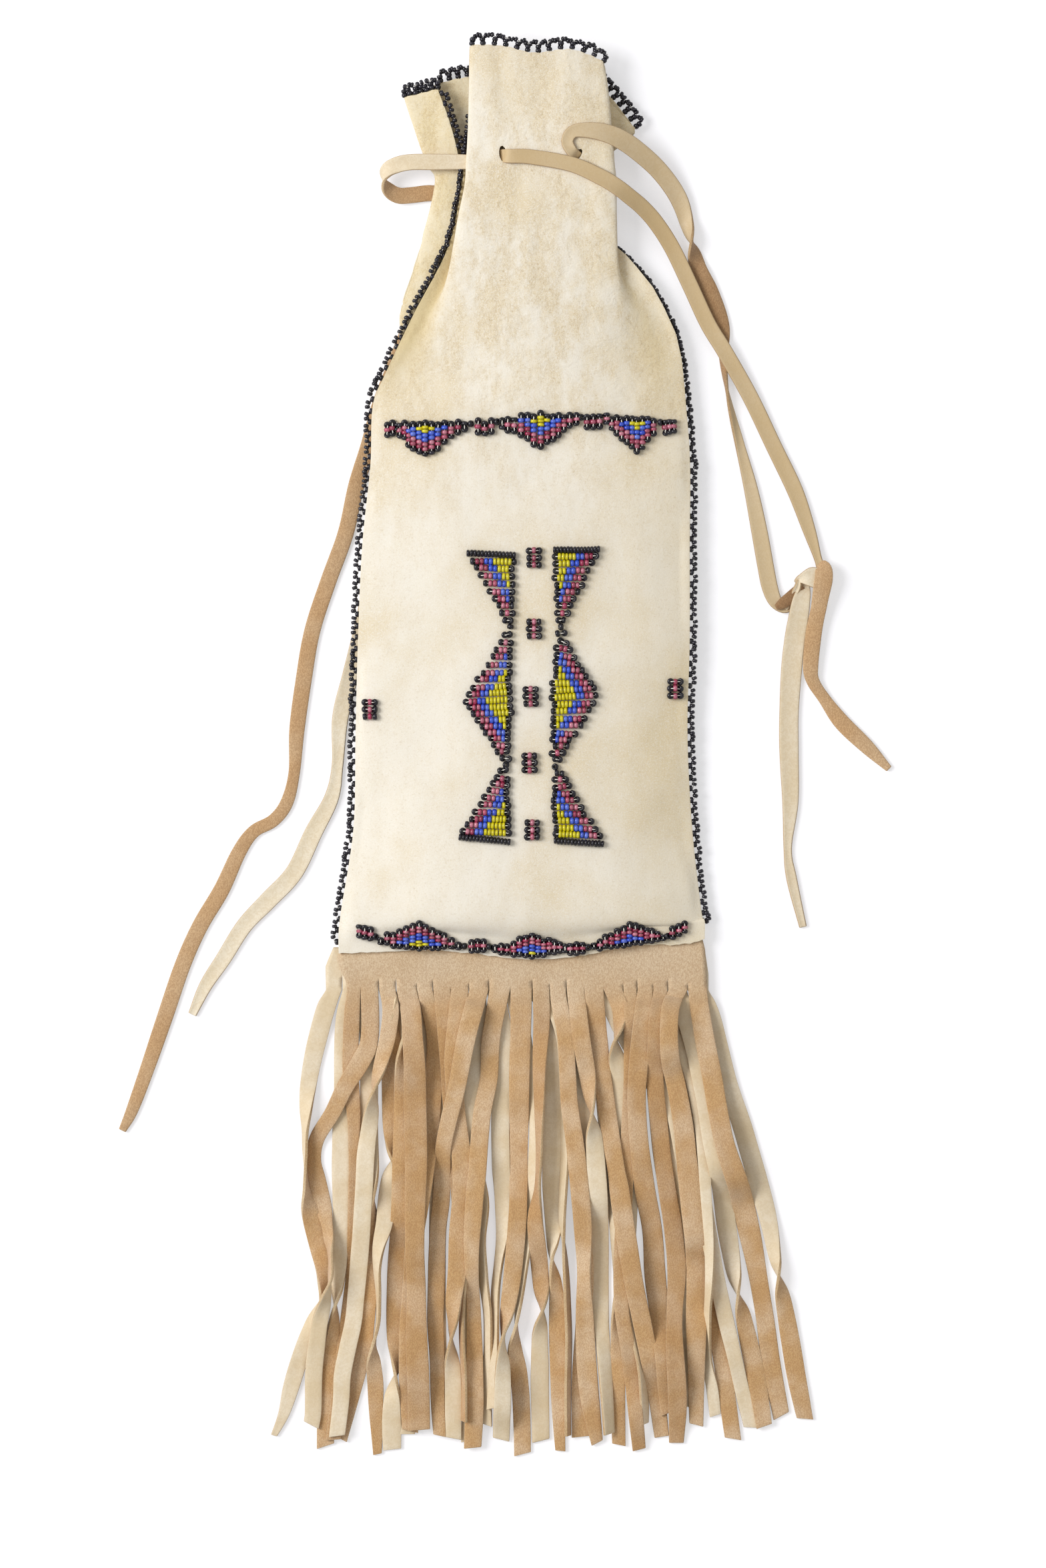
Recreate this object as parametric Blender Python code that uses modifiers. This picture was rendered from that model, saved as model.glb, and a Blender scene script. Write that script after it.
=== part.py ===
"""Beaded hide pipe bag lying on its back: metres, Z up, mouth towards +Y, front face up.

Two hide panels are sewn together along the sides, gathered at the neck by two flat thongs and
closed at the bottom over two layers of cut fringe. Beadwork lies on the front panel in lanes and
runs round every edge. Outlines are read in photograph pixels and turned into real sizes here.
"""

import math

import bmesh
import bpy
from mathutils import Matrix, Vector
from mathutils.bvhtree import BVHTree

# Driving sizes
BAG_WIDTH = 0.117
BAG_LENGTH = 0.311
BAG_LOFT = 0.012
SEAM_HEIGHT = 0.0054
HIDE = 0.0011
CLEARANCE = 0.0003
FRINGE_LENGTH = 0.168
FRINGE_TAB = 0.005
FOLD_MARGIN = 0.0004
FOLD_GAP = 0.0007
THONG_WIDTH = 0.0055
THONG_THICKNESS = 0.0011
SLIT_LENGTH = 0.0062
SLIT_WIDTH = 0.0036
KNOT_THICKNESS = 0.0036
KNOT_ROUNDING = 0.0008

# Beads: lanes of the two cross bands are spaced by the bag's width, so a band fits any bag
COLUMN_PITCH_SHARE = 0.0171
HEM_PITCH_SHARE = 0.01624
LANE_PITCH = 0.00245
BEAD_LENGTH = 0.0015
BEAD_HEIGHT = 0.0017
LANE_VALLEY = 0.0009
LANE_STEP = 0.0001
EDGE_BEAD_RADIUS = 0.0009
EDGE_THREAD_RADIUS = 0.0007
EDGE_PITCH = 0.0043
EDGE_GAP = 0.0005
EDGE_REACH = 0.0031
MOUTH_REACH = 0.0034

# Photograph pixels that the driving sizes span, and the pixel at the origin
LEFT_PIXEL = 528
RIGHT_PIXEL = 1037
HEM_PIXEL = 1432
MOUTH_PIXEL = 80
ORIGIN_PIXEL = (784, 1048)
FOLD_PIXEL = 1452
TIP_PIXEL = 2182
X_PER_PIXEL = BAG_WIDTH / (RIGHT_PIXEL - LEFT_PIXEL)
Y_PER_PIXEL = BAG_LENGTH / (HEM_PIXEL - MOUTH_PIXEL)
FRINGE_PER_PIXEL = FRINGE_LENGTH / (TIP_PIXEL - FOLD_PIXEL)

# Heights of the layers stacked at the hem, from the table up
BACK_HEM_HEIGHT = HIDE / 2
BACK_TAB_HEIGHT = BACK_HEM_HEIGHT + HIDE + CLEARANCE
FRONT_TAB_HEIGHT = BACK_TAB_HEIGHT + HIDE + CLEARANCE
FRONT_HEM_HEIGHT = FRONT_TAB_HEIGHT + HIDE + CLEARANCE

# Side seams from hem to neck, as (x pixel, y pixel)
LEFT_SEAM_PIXELS = (
    (518, 1432), (516, 1400), (520, 1360), (526, 1300), (534, 1240), (538, 1160), (539, 1050),
    (543, 940), (549, 820), (557, 700), (558, 640), (563, 600), (580, 558), (600, 518),
    (622, 470), (645, 425), (668, 382), (684, 330), (691, 275), (693, 246), (690, 228),
)
RIGHT_SEAM_PIXELS = (
    (1054, 1432), (1050, 1400), (1043, 1360), (1036, 1300), (1028, 1235), (1025, 1160),
    (1025, 1080), (1031, 1000), (1031, 900), (1030, 800), (1032, 720), (1025, 670),
    (1020, 600), (1015, 555), (1008, 515), (993, 475), (968, 435), (940, 400), (919, 372),
)
BODY_ROW_PIXELS = (1366, 1240, 1100, 960, 820, 700, 610)
SEAM_HEIGHT_SHARES = (0.56, 0.63, 0.8, 1.0, 1.0, 1.0, 1.0)

# Places across the body and the height of each panel there, hem rows excepted
FRONT_ACROSS_SHARES = (0.0, 0.06, 0.24, 0.38, 0.52, 0.68, 0.83, 0.94, 1.0)
BACK_ACROSS_SHARES = (0.0, 0.07, 0.22, 0.38, 0.54, 0.84, 0.94, 1.0)
BACK_FLANK_SHARES = (1.0, 0.72, 0.0, 0.0, 0.0, 0.0, 0.5, 1.0)
CROWN_SHARE = 0.9
CROWN_POWER = 2.6

# Hem edge of the front panel, and the gathered rows up to the mouth
FRONT_HEM_PIXELS = (
    (518, 1428), (548, 1427), (642, 1425), (712, 1430), (783, 1437), (865, 1433), (944, 1418),
    (1020, 1413), (1054, 1408),
)
FRONT_NECK_PIXELS = (
    ((580, 558), (602, 558), (656, 558), (730, 558), (800, 558), (880, 558), (940, 558),
     (996, 556), (1015, 555)),
    ((622, 470), (646, 470), (668, 470), (735, 470), (800, 470), (872, 470), (928, 470),
     (968, 470), (990, 470)),
    ((672, 372), (696, 372), (684, 372), (745, 372), (803, 372), (868, 372), (923, 372),
     (896, 372), (917, 372)),
    ((692, 280), (716, 280), (699, 280), (750, 280), (806, 280), (866, 280), (920, 280),
     (880, 280), (900, 280)),
    ((697, 246), (718, 246), (701, 246), (752, 246), (808, 246), (866, 246), (917, 246),
     (878, 246), (898, 246)),
    ((711, 190), (729, 190), (704, 190), (755, 190), (808, 190), (858, 190), (913, 190),
     (876, 190), (893, 190)),
    ((712, 94), (731, 86), (708, 73), (755, 75), (800, 85), (850, 80), (896, 90),
     (872, 98), (889, 106)),
)
FRONT_NECK_SHARES = (
    (0.0, 0.53, 0.72, 0.85, 0.9, 0.86, 0.77, 0.6, 0.0),
    (0.0, 0.56, 0.82, 0.92, 0.95, 0.92, 0.82, 0.57, 0.0),
    (0.0, 0.55, 0.9, 0.96, 0.98, 0.96, 0.88, 0.58, 0.0),
    (0.0, 0.55, 0.92, 0.98, 1.0, 0.98, 0.92, 0.6, 0.0),
    (0.0, 0.55, 0.92, 0.98, 1.0, 0.98, 0.92, 0.62, 0.0),
    (0.6, 0.63, 0.9, 0.97, 0.98, 0.97, 0.9, 0.65, 0.58),
    (0.6, 0.66, 0.88, 0.94, 0.95, 0.94, 0.87, 0.69, 0.6),
)

# Hem edge of the back panel, and its gathered rows with the ear at the left
BACK_HEM_PIXELS = (
    (518, 1426), (553, 1426), (633, 1426), (712, 1428), (790, 1432), (942, 1418), (1024, 1412),
    (1054, 1406),
)
BACK_NECK_PIXELS = (
    ((580, 558), (620, 558), (694, 558), (745, 558), (800, 558), (940, 558), (990, 556),
     (1015, 555)),
    ((622, 470), (603, 472), (662, 470), (725, 470), (800, 470), (912, 470), (962, 470),
     (990, 470)),
    ((668, 372), (630, 374), (664, 372), (725, 372), (800, 372), (876, 372), (908, 372),
     (917, 372)),
    ((687, 278), (655, 278), (684, 278), (730, 278), (800, 278), (866, 278), (892, 278),
     (896, 278)),
    ((689, 246), (642, 246), (676, 246), (730, 246), (800, 246), (866, 246), (894, 246),
     (892, 246)),
    ((676, 190), (622, 192), (668, 186), (730, 186), (800, 186), (870, 186), (944, 206),
     (906, 196)),
    ((657, 137), (608, 148), (661, 127), (707, 117), (800, 108), (878, 112), (951, 194),
     (904, 146)),
)
BACK_NECK_SHARES = (
    (0.0, 0.24, 0.0, 0.0, 0.0, 0.0, 0.2, 0.0),
    (0.0, 0.28, 0.23, 0.19, 0.16, 0.16, 0.24, 0.0),
    (0.0, 0.33, 0.21, 0.21, 0.21, 0.21, 0.28, 0.0),
    (0.0, 0.35, 0.22, 0.21, 0.21, 0.21, 0.28, 0.0),
    (0.0, 0.35, 0.22, 0.21, 0.21, 0.21, 0.28, 0.0),
    (0.54, 0.37, 0.22, 0.22, 0.22, 0.22, 0.26, 0.44),
    (0.56, 0.39, 0.23, 0.23, 0.23, 0.23, 0.26, 0.46),
)
NECK_SEAM_SHARES = (
    (0.46, 0.46), (0.5, 0.48), (0.55, 0.48), (0.55, 0.49), (0.55, 0.49), None, None,
)

# Fringe: cut places along each fold line, tops of the cuts, and the strand tips
FRONT_CUT_PIXELS = (
    520, 541, 568, 594, 625, 649, 676, 703, 733, 765, 798, 824, 849, 876, 905, 934, 955, 979,
    1001, 1031, 1060,
)
FRONT_CUT_TOP_PIXELS = (
    1464, 1462, 1466, 1461, 1470, 1463, 1474, 1466, 1462, 1472, 1464, 1470, 1462, 1478, 1466,
    1462, 1470, 1463, 1468,
)
FRONT_TIP_PIXELS = (
    (425, 2142), (470, 2162), (510, 2150), (556, 2176), (590, 2172), (630, 2144), (664, 2156),
    (699, 2170), (738, 2158), (776, 2182), (812, 2160), (846, 2173), (880, 2155), (915, 2163),
    (951, 2168), (989, 2156), (1034, 2150), (1086, 2146), (1140, 2138), (1196, 2123),
)
BACK_CUT_PIXELS = (
    498, 527, 554, 581, 608, 635, 662, 689, 716, 743, 770, 797, 824, 851, 878, 905, 932, 959,
    986, 1013, 1042,
)
BACK_TIP_PIXELS = (
    (448, 2104), (488, 2166), (528, 2140), (566, 2168), (602, 2150), (640, 2140), (676, 2160),
    (712, 2146), (748, 2166), (784, 2150), (820, 2158), (856, 2170), (890, 2150), (926, 2160),
    (962, 2148), (1002, 2160), (1046, 2136), (1092, 2152), (1132, 2136), (1172, 2124),
)
STRAND_BEND_SHARES = (0.0, 0.15, 0.4, 0.7, 1.0)
STRAND_BEND_POWER = 1.25
STRAND_FILL_SHARE = 0.95
TIP_FILL_SHARE = 0.84

# Thong routes, each point as (x pixel, y pixel, height in millimetres, width share)
MILLIMETRE = 0.001
RIGHT_THONG_ROUTE = (
    (750, 238, 10.3, 0.85), (757, 238, 11.85, 0.85), (764, 239, 13.35, 0.88),
    (795, 240, 13.5, 0.92), (856, 251, 13.5, 0.95), (900, 270, 13.1, 1.0),
    (924, 284, 12.3, 1.0), (943, 298, 10.4, 1.0), (963, 314, 7.9, 1.0), (984, 337, 5.6, 1.0),
    (1008, 374, 3.6, 1.0),
    (1035, 430, 2.7, 1.0), (1061, 486, 2.7, 1.0), (1087, 529, 2.8, 1.0), (1125, 596, 1.6, 1.0),
    (1160, 669, 0.9, 1.0), (1192, 736, 0.9, 1.0), (1213, 795, 1.2, 0.8), (1225, 834, 2.0, 0.5),
)
LOOPED_THONG_ROUTE = (
    (869, 242, 10.2, 0.7), (863, 237, 11.85, 0.7), (857, 232, 13.5, 0.7),
    (850, 217, 13.6, 0.62), (858, 203, 13.6, 0.62), (877, 198, 13.5, 0.8),
    (902, 200, 12.9, 0.95), (928, 208, 11.4, 1.0), (956, 228, 8.6, 1.0), (989, 259, 5.0, 1.0),
    (1017, 298, 2.4, 1.0), (1032, 344, 1.2, 0.9), (1045, 397, 0.9, 0.9), (1066, 440, 0.9, 1.0),
    (1083, 491, 0.9, 0.9), (1085, 548, 0.9, 0.5), (1093, 602, 0.9, 0.5), (1109, 666, 0.9, 0.7),
    (1125, 730, 0.9, 0.9), (1138, 794, 0.9, 1.0), (1143, 856, 1.0, 1.0), (1152, 888, 1.7, 0.9),
    (1165, 905, 2.5, 0.75), (1178, 902, 2.8, 0.65), (1187, 889, 2.8, 0.55),
)
LEFT_LONG_ROUTE = (
    (745, 239, 10.3, 0.85), (731, 242, 10.1, 0.85), (718, 245, 9.6, 0.9), (706, 246, 8.95, 0.9),
    (690, 246, 8.8, 0.95), (650, 246, 8.5, 1.0), (616, 246, 8.0, 1.0), (595, 250, 7.3, 1.0),
    (580, 259, 6.2, 0.95), (574, 272, 4.8, 0.9), (580, 287, 3.4, 0.9), (595, 297, 2.4, 0.9),
    (616, 299, 1.6, 0.9), (642, 292, 1.0, 0.9), (662, 293, 0.9, 0.9), (674, 306, 0.9, 0.9),
    (672, 328, 0.9, 1.0), (656, 370, 0.9, 1.0), (638, 420, 0.9, 1.0), (616, 485, 0.9, 1.0),
    (592, 548, 0.9, 1.0), (568, 612, 0.9, 1.0), (552, 670, 0.9, 1.0), (534, 728, 0.9, 1.0),
    (518, 800, 0.9, 1.0), (492, 872, 0.9, 1.0), (468, 946, 0.9, 1.0), (455, 1020, 0.9, 1.0),
    (445, 1094, 0.9, 0.95), (441, 1158, 0.9, 0.7), (430, 1203, 0.9, 0.8), (410, 1230, 0.9, 0.8),
    (380, 1247, 0.9, 0.8), (358, 1278, 0.9, 0.9), (332, 1334, 0.9, 1.0), (300, 1388, 0.9, 1.0),
    (274, 1446, 0.9, 1.0), (248, 1522, 0.9, 1.0), (222, 1598, 0.9, 0.9), (198, 1664, 0.9, 0.75),
    (183, 1695, 0.9, 0.45),
)
LEFT_SHORT_ROUTE = (
    (873, 245, 10.1, 0.7), (886, 249, 9.8, 0.75), (898, 252, 9.3, 0.75), (907, 253, 8.3, 0.75),
    (911, 254, 6.2, 0.75), (909, 255, 3.6, 0.75), (901, 256, 1.6, 0.75), (885, 257, 0.9, 0.9),
    (845, 259, 0.9, 1.0), (795, 264, 0.9, 1.0), (748, 276, 0.9, 1.0), (714, 300, 0.9, 1.0),
    (696, 340, 0.9, 1.0), (676, 396, 0.9, 1.0), (656, 452, 0.9, 1.0), (634, 516, 0.9, 1.0),
    (610, 586, 0.9, 1.0), (592, 654, 0.9, 1.0), (580, 724, 0.9, 1.0), (569, 796, 0.9, 1.0),
    (557, 868, 0.9, 1.0), (543, 940, 0.9, 1.0), (525, 1013, 0.9, 1.0), (510, 1076, 0.9, 1.0),
    (506, 1146, 0.9, 0.7), (497, 1196, 0.9, 0.9), (470, 1248, 0.9, 1.1), (441, 1308, 0.9, 1.1),
    (402, 1350, 0.9, 1.1), (366, 1388, 0.9, 1.0), (335, 1437, 0.9, 0.95),
    (308, 1478, 0.9, 0.8), (288, 1521, 0.9, 0.5),
)
LONG_TAIL_ROUTE = (
    (1199, 896, 0.9, 1.1), (1196, 930, 0.9, 1.25), (1190, 988, 0.9, 1.25),
    (1183, 1069, 0.9, 1.2), (1183, 1126, 0.9, 1.2), (1185, 1203, 0.9, 1.0),
    (1181, 1272, 0.9, 0.5), (1187, 1318, 0.9, 0.65), (1204, 1390, 0.9, 0.45),
)
SHORT_TAIL_ROUTE = (
    (1235, 893, 2.8, 0.9), (1229, 930, 2.7, 1.0), (1222, 970, 2.4, 0.9), (1219, 1010, 1.7, 0.7),
    (1233, 1046, 1.0, 0.6), (1262, 1088, 0.9, 1.0), (1300, 1121, 0.9, 0.9),
    (1331, 1153, 0.9, 0.4),
)
KNOT_PIXELS = (
    (1222, 838), (1240, 845), (1248, 862), (1244, 881), (1226, 889), (1206, 890), (1194, 882),
    (1199, 866), (1209, 851),
)

# Slits in the gathered front panel, as (x pixel, y pixel), and the way each one runs
SLIT_PIXELS = ((757, 238), (864, 238))
SLIT_TURNS = (0.0, -0.66)
SIDE_SLIT_PIXELS = ((710, 246), (903, 252))
SIDE_SLIT_SHARES = (0.745, 0.755)
SIDE_SLIT_DEPTH = 0.0026

# Beadwork: lane lengths in beads, and where each group sits
TOP_LANES = (2, 3, 4, 5, 6, 7, 8, 7, 6, 5, 4, 3, 2)
STEEP_LANES = (2, 4, 5, 7, 8, 7, 5, 4, 2)
HEM_LANES = (2, 3, 4, 4, 5, 6, 6, 6, 5, 4, 4, 3, 2)
UPPER_LANES = (11, 10, 9, 8, 7, 6, 5, 4, 3, 2)
MIDDLE_LANES = (2, 3, 4, 5, 6, 7, 8, 9, 10, 11, 10, 9, 8, 7, 6, 5, 4, 3, 2)
SPACER_LANES = (3, 3, 3)
TOP_GROUP_PIXELS = ((649, 634), (808, 625), (949, 630))
TOP_SPACER_PIXELS = ((588, 636), (727, 632), (888, 629), (1004, 631))
HEM_GROUP_PIXELS = ((635, 1416), (792, 1428), (949, 1409))
HEM_SPACER_PIXELS = ((546, 1399), (716, 1414), (866, 1416), (1016, 1392))
COLUMN_TOP_PIXEL = 842
LEFT_COLUMN_PIXELS = (773, 771, 768)
RIGHT_COLUMN_PIXELS = (828, 829, 827)
CENTRE_SPACER_PIXELS = ((800, 839), (800, 944), (795, 1045), (794, 1144), (798, 1244))
SIDE_SPACER_PIXELS = ((555, 1064), (1012, 1033))

# Bead strings round the mouth and the open neck corner, and how far they lean up
EAR_EDGE_PIXELS = ((611, 146), (655, 135))
SLIT_BACK_PIXELS = ((660, 143), (667, 164), (675, 187), (682, 208), (686, 224))
SLIT_FRONT_PIXELS = ((711, 182), (710, 198), (707, 213))
LEFT_LEAN_SHARES = (0, 0, 0, 0, 0, 0, 0, 0, 0, 0, 0, 0.05, 0.2, 0.4, 0.7, 0.85, 0.9)
SEAM_BEAD_PIXELS = (1366, 260)

HIDE_COLOUR = (0.84, 0.77, 0.61)
SUEDE_COLOUR = (0.58, 0.4, 0.23)
PALE_SUEDE_COLOUR = (0.74, 0.62, 0.43)
THONG_COLOUR = (0.72, 0.56, 0.36)
BLACK_BEAD_COLOUR = (0.012, 0.012, 0.02)
ROSE_BEAD_COLOUR = (0.45, 0.08, 0.14)


def clear_scene():
    """Remove every object the file opens with."""
    for thing in list(bpy.data.objects):
        bpy.data.objects.remove(thing, do_unlink=True)


def new_collection(name):
    group = bpy.data.collections.new(name)
    bpy.context.scene.collection.children.link(group)
    return group


def make_material(name, colour, roughness, metallic=0.0):
    material = bpy.data.materials.new(name)
    material.use_nodes = True
    shader = material.node_tree.nodes["Principled BSDF"]
    shader.inputs["Base Color"].default_value = (*colour, 1.0)
    shader.inputs["Roughness"].default_value = roughness
    shader.inputs["Metallic"].default_value = metallic
    return material


def place(pixel, height=0.0):
    """Turn a photograph pixel and a height into a point of the bag."""
    across = (pixel[0] - ORIGIN_PIXEL[0]) * X_PER_PIXEL
    along = (ORIGIN_PIXEL[1] - pixel[1]) * Y_PER_PIXEL
    return Vector((across, along, height))


def seam_pixel(seam, row):
    """Find the seam's x pixel at a y pixel."""
    for low, high in zip(seam, seam[1:]):
        if low[1] >= row >= high[1]:
            share = (low[1] - row) / (low[1] - high[1])
            return low[0] + (high[0] - low[0]) * share
    return seam[-1][0]


def smooth(points, cuts):
    """Run a Catmull-Rom curve through points with a number of cuts in each span."""
    ends = [points[0] * 2 - points[1], *points, points[-1] * 2 - points[-2]]
    curve = [points[0].copy()]
    for before, start, end, after in zip(ends, ends[1:], ends[2:], ends[3:]):
        for cut in range(1, cuts + 1):
            t = cut / cuts
            bend = (end - before) * t
            turn = (before * 2 - start * 5 + end * 4 - after) * t ** 2
            close = (start * 3 - before - end * 3 + after) * t ** 3
            curve.append((start * 2 + bend + turn + close) / 2)
    return curve


def add_mesh(name, group, material, vertices, faces):
    mesh = bpy.data.meshes.new(name)
    mesh.from_pydata([tuple(vertex) for vertex in vertices], [], faces)
    mesh.materials.append(material)
    thing = bpy.data.objects.new(name, mesh)
    group.objects.link(thing)
    return thing


def grid_faces(rows, columns):
    return [
        (row * columns + column, row * columns + column + 1,
         (row + 1) * columns + column + 1, (row + 1) * columns + column)
        for row in range(rows - 1) for column in range(columns - 1)
    ]


def open_slot(shape, spot, size, turn):
    """Cut a boxed slot out of an open sheet: split the faces near its sides, drop the inside."""
    frame = Matrix.Translation(spot) @ Matrix.Rotation(turn, 4, "Z")
    inverse = frame.inverted()
    reach = max(size)
    for axis in range(3):
        for side in (-1, 1):
            offset = Vector((0, 0, 0))
            offset[axis] = side * size[axis] / 2
            normal = frame.to_3x3().col[axis]
            faces = [f for f in shape.faces if (f.calc_center_median() - spot).length < reach]
            edges = {edge for face in faces for edge in face.edges}
            corners = {corner for face in faces for corner in face.verts}
            bmesh.ops.bisect_plane(shape, geom=[*faces, *edges, *corners], dist=CLEARANCE / 10,
                                   plane_co=frame @ offset, plane_no=normal)
    inside = []
    for face in shape.faces:
        middle = inverse @ face.calc_center_median()
        if all(abs(middle[axis]) < size[axis] / 2 for axis in range(3)):
            inside.append(face)
    bmesh.ops.delete(shape, geom=inside, context="FACES")


def loft_sheet(name, group, material, rows, slots=()):
    """Loft rows of points into one open sheet of hide, slot it, and give it its thickness."""
    columns = [smooth(list(column), 2) for column in zip(*rows)]
    lines = [smooth(list(line), 2) for line in zip(*columns)]
    for line in lines:
        for point in line:
            point.z = max(point.z, HIDE / 2)
    vertices = [point for line in lines for point in line]
    thing = add_mesh(name, group, material, vertices, grid_faces(len(lines), len(lines[0])))
    shape = bmesh.new()
    shape.from_mesh(thing.data)
    for slot in slots:
        open_slot(shape, *slot)
    shape.to_mesh(thing.data)
    shape.free()
    shell = thing.modifiers.new("thickness", "SOLIDIFY")
    shell.thickness = HIDE
    shell.offset = 0.0
    thing.data.shade_smooth()
    return thing, lines


def body_height(share, seam_height):
    """Height of the front panel's middle surface across the puffed body."""
    crown = BAG_LOFT * CROWN_SHARE
    edge = abs(2 * share - 1) ** CROWN_POWER
    return crown + (seam_height - crown) * edge


def hem_rows(pixels, height, crown):
    """Two flat rows that take the fringe tabs: the hem edge and the inner end of the tabs."""
    edge = [place(pixel, height) for pixel in pixels]
    count = len(pixels) - 1
    inner = []
    for number, point in enumerate(edge):
        rise = crown * (1 - abs(2 * number / count - 1) ** 2)
        inner.append(point + Vector((0, FRINGE_TAB + HIDE, rise)))
    return [edge, inner]


def seam_offset():
    return (HIDE + CLEARANCE) / 2


def front_rows():
    rows = hem_rows(FRONT_HEM_PIXELS, FRONT_HEM_HEIGHT, HIDE)
    for row, seam_share in zip(BODY_ROW_PIXELS, SEAM_HEIGHT_SHARES):
        left = seam_pixel(LEFT_SEAM_PIXELS, row)
        right = seam_pixel(RIGHT_SEAM_PIXELS, row)
        seam = SEAM_HEIGHT * seam_share + seam_offset()
        line = []
        for share in FRONT_ACROSS_SHARES:
            pixel = (left + (right - left) * share, row)
            line.append(place(pixel, body_height(share, seam)))
        rows.append(line)
    for pixels, shares, seams in zip(FRONT_NECK_PIXELS, FRONT_NECK_SHARES, NECK_SEAM_SHARES):
        line = [place(pixel, BAG_LOFT * share) for pixel, share in zip(pixels, shares)]
        if seams:
            line[0].z = BAG_LOFT * seams[0] + seam_offset()
            line[-1].z = BAG_LOFT * seams[1] + seam_offset()
        rows.append(line)
    return rows


def back_rows():
    rows = hem_rows(BACK_HEM_PIXELS, BACK_HEM_HEIGHT, 0.0)
    for row, seam_share in zip(BODY_ROW_PIXELS, SEAM_HEIGHT_SHARES):
        left = seam_pixel(LEFT_SEAM_PIXELS, row)
        right = seam_pixel(RIGHT_SEAM_PIXELS, row)
        seam = SEAM_HEIGHT * seam_share - seam_offset()
        line = []
        for share, flank in zip(BACK_ACROSS_SHARES, BACK_FLANK_SHARES):
            pixel = (left + (right - left) * share, row)
            line.append(place(pixel, BACK_HEM_HEIGHT + (seam - BACK_HEM_HEIGHT) * flank))
        rows.append(line)
    for pixels, shares, seams in zip(BACK_NECK_PIXELS, BACK_NECK_SHARES, NECK_SEAM_SHARES):
        line = [place(pixel, BAG_LOFT * share) for pixel, share in zip(pixels, shares)]
        if seams:
            line[0].z = BAG_LOFT * seams[0] - seam_offset()
            line[-1].z = BAG_LOFT * seams[1] - seam_offset()
        rows.append(line)
    return rows


def front_slots():
    """The two slits the thongs come out of, and the two hidden in the sides of the pleat."""
    slots = []
    for pixel, turn in zip(SLIT_PIXELS, SLIT_TURNS):
        spot = place(pixel, BAG_LOFT)
        slots.append((spot, (SLIT_WIDTH, SLIT_LENGTH, 4 * HIDE), turn))
    for pixel, share in zip(SIDE_SLIT_PIXELS, SIDE_SLIT_SHARES):
        spot = place(pixel, BAG_LOFT * share)
        slots.append((spot, (2 * SLIT_WIDTH, SLIT_LENGTH, SIDE_SLIT_DEPTH), 0.0))
    return slots


def build_panels(group):
    hide = make_material("white hide", HIDE_COLOUR, 0.85)
    front, front_lines = loft_sheet("front_panel", group, hide, front_rows(), front_slots())
    _, back_lines = loft_sheet("back_panel", group, hide, back_rows())
    return front, front_lines, back_lines


def string_beads(name, group, material, path, outward, reach):
    """Thread beads along an edge in a zigzag: one lies on the edge, the next stands off it."""
    lengths = [(b - a).length for a, b in zip(path, path[1:])]
    total = sum(lengths)
    count = int(total / EDGE_PITCH)
    near = EDGE_GAP + EDGE_THREAD_RADIUS
    far = reach - EDGE_BEAD_RADIUS
    curve = bpy.data.curves.new(name, "CURVE")
    curve.dimensions = "3D"
    curve.bevel_depth = EDGE_BEAD_RADIUS
    curve.bevel_resolution = 0
    curve.use_fill_caps = True
    curve.materials.append(material)
    spline = curve.splines.new("POLY")
    spline.points.add(2 * count)
    for number, point in enumerate(spline.points):
        goal = total * number / (2 * count)
        span = 0
        while span < len(lengths) - 1 and goal > lengths[span]:
            goal -= lengths[span]
            span += 1
        share = goal / lengths[span]
        spot = path[span].lerp(path[span + 1], share)
        way = outward[span].lerp(outward[span + 1], share)
        stands = number % 2 == 1
        spot = spot + way * (far if stands else near)
        point.co = (*spot, 1.0)
        point.radius = 1.0 if stands else EDGE_THREAD_RADIUS / EDGE_BEAD_RADIUS
    thing = bpy.data.objects.new(name, curve)
    group.objects.link(thing)
    return thing


def seam_path(seam, side, leans):
    """Points and outward ways along a side seam, leaning up where the neck folds over."""
    path = []
    ways = []
    body = list(zip(reversed(BODY_ROW_PIXELS), reversed(SEAM_HEIGHT_SHARES)))
    low, high = SEAM_BEAD_PIXELS
    beaded = [pixel for pixel in seam if low >= pixel[1] >= high]
    for pixel, lean in zip(beaded, leans):
        if pixel[1] >= BODY_ROW_PIXELS[-1]:
            height = height_between(pixel[1], body) * SEAM_HEIGHT
        else:
            height = neck_height(pixel[1], side)
        path.append(place(pixel, height))
        angle = lean * math.pi / 2
        rise = 1 + (seam_offset() + HIDE) / (EDGE_GAP + EDGE_THREAD_RADIUS)
        ways.append(Vector((side * math.cos(angle), 0, rise * math.sin(angle))))
    return path, ways


def height_between(row, pairs):
    """Interpolate a share between rows listed from the neck down."""
    for low, high in zip(pairs, pairs[1:]):
        if low[0] <= row <= high[0]:
            return low[1] + (high[1] - low[1]) * (row - low[0]) / (high[0] - low[0])
    return pairs[-1][1]


def neck_height(row, side):
    number = 0 if side < 0 else 1
    pairs = [
        (pixels[0][1], seams[number])
        for pixels, seams in zip(FRONT_NECK_PIXELS, NECK_SEAM_SHARES) if seams
    ]
    pairs.append((BODY_ROW_PIXELS[-1], SEAM_HEIGHT / BAG_LOFT))
    return height_between(row, sorted(pairs)) * BAG_LOFT


def edge_path(points, lean):
    """A path whose outward way is square to it in plan, on its left when lean is positive."""
    ways = []
    for number, _ in enumerate(points):
        ahead = points[min(number + 1, len(points) - 1)]
        behind = points[max(number - 1, 0)]
        step = ahead - behind
        ways.append(Vector((-step.y, step.x, 0)).normalized() * lean)
    return points, ways


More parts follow.
